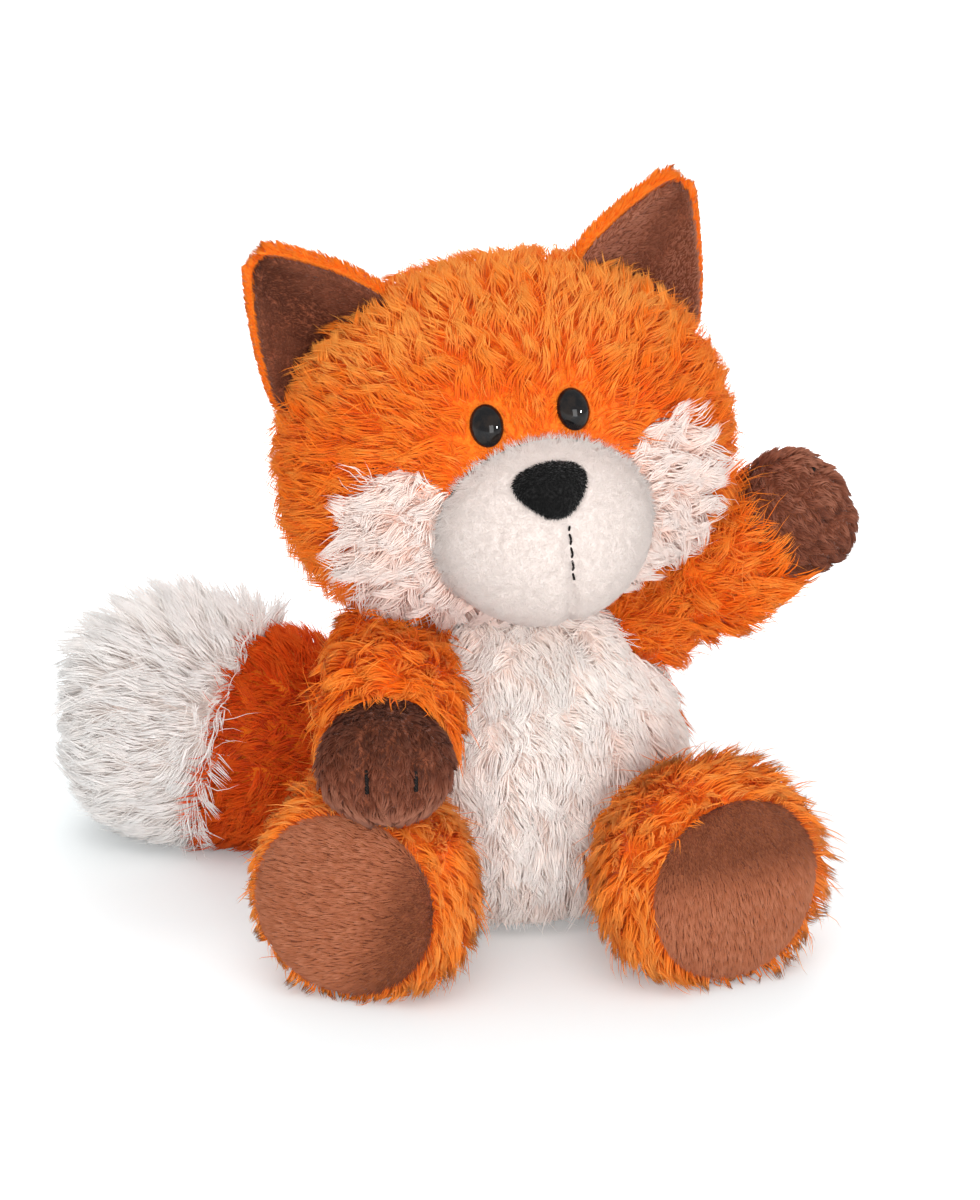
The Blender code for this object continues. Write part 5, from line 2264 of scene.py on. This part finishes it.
@dataclass
class Ear:
    """A cupped ear with an orange back and a brown inside."""

    side: Side
    width: float = 37.0
    height: float = 27.0
    tip_width: float = 5.0
    tip_shift: float = 5.7
    cup: float = 6.5
    cup_fade: float = 0.75
    root_depth: float = 9.0
    place: Size = (37.2, 1.0, 27.8)
    slant: float = 40.5
    outward: float = 14.0
    scatter: float = 0.38
    layer_room: float = 0.9
    head_room: float = 0.8

    @property
    def lean(self) -> Matrix:
        """The left ear's frame about the head's middle, which is mirrored for the right one."""
        turn = Matrix.Rotation(math.radians(self.slant), 4, "Y")
        turn = turn @ Matrix.Rotation(math.radians(self.outward), 4, "Z")
        return Matrix.Translation(Vector(self.place) * MM) @ turn

    def sheet(self, front: float, margin: float) -> BMesh:
        """One layer of the ear.

        Args:
            front: Millimetres in front of the ear's middle surface.
            margin: Millimetres that it is smaller than the whole ear.

        Returns:
            The open cupped sheet.
        """
        form = bmesh.new()
        bmesh.ops.create_grid(form, x_segments=22, y_segments=26, size=1)
        total = self.height + self.root_depth
        for vert in form.verts:
            across, up = vert.co.x, (vert.co.y + 1) / 2
            height = up * (total - margin) - self.root_depth
            share = min(max(height / (self.height - margin), 0), 1)
            swell = (1 - share**1.25) ** 0.85
            half = self.tip_width / 2 + (self.width - self.tip_width) / 2 * swell - margin / 2
            cup = self.cup * (1 - across * across) * (1 - self.cup_fade * share)
            vert.co = Vector((across * half - self.tip_shift * share, cup - front, height)) * MM
        moved(form, self.lean)
        if self.side is Side.RIGHT:
            bmesh.ops.scale(form, vec=(-1, 1, 1), verts=form.verts)
            bmesh.ops.reverse_faces(form, faces=form.faces)
        return moved(form, PLAN.pose)

    def grain(self, length: float, rise: float, shaded: float, points: Array, normals: Array) -> Grain:
        """The ear's pile, laid towards the tip, with painted shade along the ear's fold and the left ear
        painted lighter than the right.

        Args:
            length: Its millimetres.
            rise: Its degrees off the surface.
            shaded: How strong the painted shade in the fold and the painted light between the ears are, from
                0 to 1.
            points: The roots.
            normals: The normals there, which are not used.

        Returns:
            How the pile lies.
        """
        up = self.lean.to_3x3() @ UP
        up.x *= self.side.value
        way = np.array((PLAN.pose.to_3x3() @ up).normalized())
        local = PLAN.local(points) * (self.side.value, 1, 1)
        x, _, z = carried(self.lean.inverted(), local * MM).T / MM
        share = z / self.height
        beside = x + self.tip_shift * share
        fold = np.exp(-((beside / 5.0) ** 2))
        # Painted shade along the fold, and the left ear painted lighter and the right one darker as the light
        # falls
        tone = 0.56 + 0.26 * self.side.value * shaded - 0.45 * fold * shaded
        edge = rising(beside - 9 * (1 - share), 0, 4)
        reach = length * (1 - 0.55 * edge * (1 - shaded))
        return Grain(way, reach, rise, math.degrees(self.scatter), tone)

    def open_side(self, tree: BVHTree, points: Array) -> Array:
        """Roots away from the head and the ear's other layer, whose faces the tree holds."""
        far = np.array([tree.find_nearest(place)[3] for place in points])
        return (far > self.layer_room * MM) & (SKULL.depth(points) > self.head_room)

    def build(self) -> list[bpy.types.Object]:
        """Builds the ear.

        Returns:
            Its pieces.
        """
        made = []
        for layer, front, margin, thickness, finish, slot in (
            ("ear_back", 0, 0, 2.4, ORANGE_BACKING, "orange_plush"),
            ("ear_inner", SEAM_GAP, 0.9, -1.8, BROWN_BACKING, "brown_plush"),
        ):
            name = f"{layer}_{self.side.label}"
            obj = piece(name, self.sheet(front, margin), "head", finish)
            made.append(carve(obj, thickness, ("DIFFERENCE", grown(SKULL.form(48, 24), SEAM_GAP))))
        back, inner = made
        pile = replace(SHORT_PILE, per_mm2=5.5, width=0.34, tuft=1.8, gather=0.35)
        for obj, other, finish, slot, grain, seed in (
            (back, inner, ORANGE_FUR, "orange_plush", (2.6, 38, 0.0), 71),
            (inner, back, EAR_FUR, "brown_plush", (1.6, 32, 1.0), 73),
        ):
            form = bmesh.new()
            form.from_mesh(other.data)
            rules = (partial(self.grain, *grain), partial(self.open_side, BVHTree.FromBMesh(form)))
            form.free()
            name = f"{obj.name.replace('_plush', '')}_fur"
            seed += self.side.value
            made += Fur(name, Surface(obj.data), pile, *rules, finish, "head", slot, seed=seed).grow()
        return made


@dataclass
class Inside:
    """The fillings and the washers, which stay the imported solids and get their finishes."""

    def build(self) -> list[bpy.types.Object]:
        """Dresses the solids.

        Returns:
            The solids.
        """
        made = []
        for name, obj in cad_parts.items():
            finish = FIBRE_FILLING if "filling" in name else WASHER_PLASTIC if "washer" in name else None
            if finish:
                obj.data.materials.clear()
                obj.data.materials.append(finish.material())
                made.append(obj)
        return made


# Studio


@dataclass
class Studio:
    """A pale floor, soft light from all round, and the camera where the photograph was taken."""

    target: Size = (5.7, -3.7, 76.0)
    distance: float = 1100.0
    lamp_distance: float = 1300.0
    azimuth: float = -7.5
    elevation: float = 17.5
    lens: float = 137.5
    near_glow: float = 0.2
    glow_from_to: tuple[float, float] = (100.0, 380.0)
    sky_level: float = 0.66

    def facing(self, obj: bpy.types.Object, azimuth: float, elevation: float, distance: float) -> None:
        """Puts a camera or lamp where it faces the fox.

        Args:
            obj: The camera or lamp.
            azimuth: Degrees round from the front, to the fox's left.
            elevation: Degrees above the floor.
            distance: Its millimetres from the fox.
        """
        away = heading(Side.LEFT, azimuth, elevation)
        obj.location = (Vector(self.target) + away * distance) * MM
        obj.rotation_mode = "QUATERNION"
        obj.rotation_quaternion = (-away).to_track_quat("-Z", "Y")

    def camera(self) -> None:
        """Makes the camera and looks through it."""
        data = bpy.data.cameras.new("camera")
        data.lens = self.lens
        data.sensor_width = 36
        data.clip_end = 20
        camera = shown("camera", data)
        self.facing(camera, self.azimuth, self.elevation, self.distance)
        bpy.context.scene.camera = camera

    def lamps(self) -> None:
        """Hangs soft lamps that face the fox, two of which only show as glints in polished pieces."""
        for name, azimuth, elevation, size, watts, gloss_only in (
            ("key", -15, 12, (0.9, 0.8), 6.2, False),
            ("fill", 14, 2, (0.8, 0.8), 8.6, False),
            ("top", -10, 68, (1.1, 1.1), 5.6, False),
            ("rim", 172, 34, (1.2, 0.8), 7.0, False),
            ("window", 16, 0, (0.5, 0.9), 11.0, True),
            ("glint", 50, 10, (0.1, 0.1), 20.0, True),
        ):
            data = bpy.data.lights.new(name, "AREA")
            data.shape = "RECTANGLE"
            data.size, data.size_y = size
            data.energy = watts
            lamp = shown(name, data)
            self.facing(lamp, azimuth, elevation, self.lamp_distance)
            lamp.visible_diffuse = not gloss_only
            lamp.visible_glossy = gloss_only

    def floor(self) -> None:
        """Lays the floor, which a camera sees as white where nothing shades it."""
        form = bmesh.new()
        bmesh.ops.create_grid(form, x_segments=1, y_segments=1, size=4)
        floor = shown("floor", meshed(form, "floor"))
        graph = Graph(bpy.data.materials.new("floor"))
        grain = graph.noise(graph.place(), 0.02, 3)
        away = graph.node("ShaderNodeVectorMath", {"operation": "LENGTH"}, graph.place(), out="Value")
        glow = self.near_glow + away.between(*self.glow_from_to) * (1 - self.near_glow)
        paper = graph.finish(
            Base_Color=graph.mix(grain, (0.79, 0.83, 0.84), (0.82, 0.86, 0.87)),
            Roughness=0.9,
            Specular_IOR_Level=0.0,
            Emission_Color=graph.mix(self.seen(graph) * glow, (0, 0, 0), (1, 1, 1)),
            Emission_Strength=1.0,
        )
        floor.data.materials.append(paper)

    def seen(self, graph: Graph) -> Signal:
        """1 for rays that show the background: the camera's, and those in gloss and glass.

        Args:
            graph: The nodes that it is for.

        Returns:
            The share.
        """
        names = ("Is Camera Ray", "Is Glossy Ray", "Is Transmission Ray")
        rays = [graph.node("ShaderNodeLightPath", {}, out=name) for name in names]
        return rays[0].most(rays[1]).most(rays[2])

    def sky(self) -> None:
        """Lights the scene evenly from all round, and shows white behind it."""
        graph = Graph(bpy.data.worlds.new("studio"), "Background")
        lowest = {"To Min": self.sky_level}
        level = graph.node("ShaderNodeMapRange", {}, self.seen(graph), **lowest)
        bpy.context.scene.world = graph.finish(Color=(1, 1, 1), Strength=level)

    def build(self) -> None:
        """Sets the studio up."""
        bpy.context.scene.view_settings.view_transform = "Standard"
        self.camera()
        self.floor()
        self.sky()
        self.lamps()


def main() -> None:
    """Builds the fox and the studio in order, and reports each piece."""
    logging.basicConfig(level=logging.INFO, format="%(name)s %(message)s")
    Studio().build()
    assemblies = [Inside(), Body(), Head(), *(Ear(side) for side in Side)]
    assemblies += [Arm(side) for side in Side] + [Leg(side) for side in Side] + [Tail()]
    for assembly in assemblies:
        for made in assembly.build():
            log.info("%s: %d faces", made.name, len(made.data.polygons))


if __name__ == "__main__":
    main()
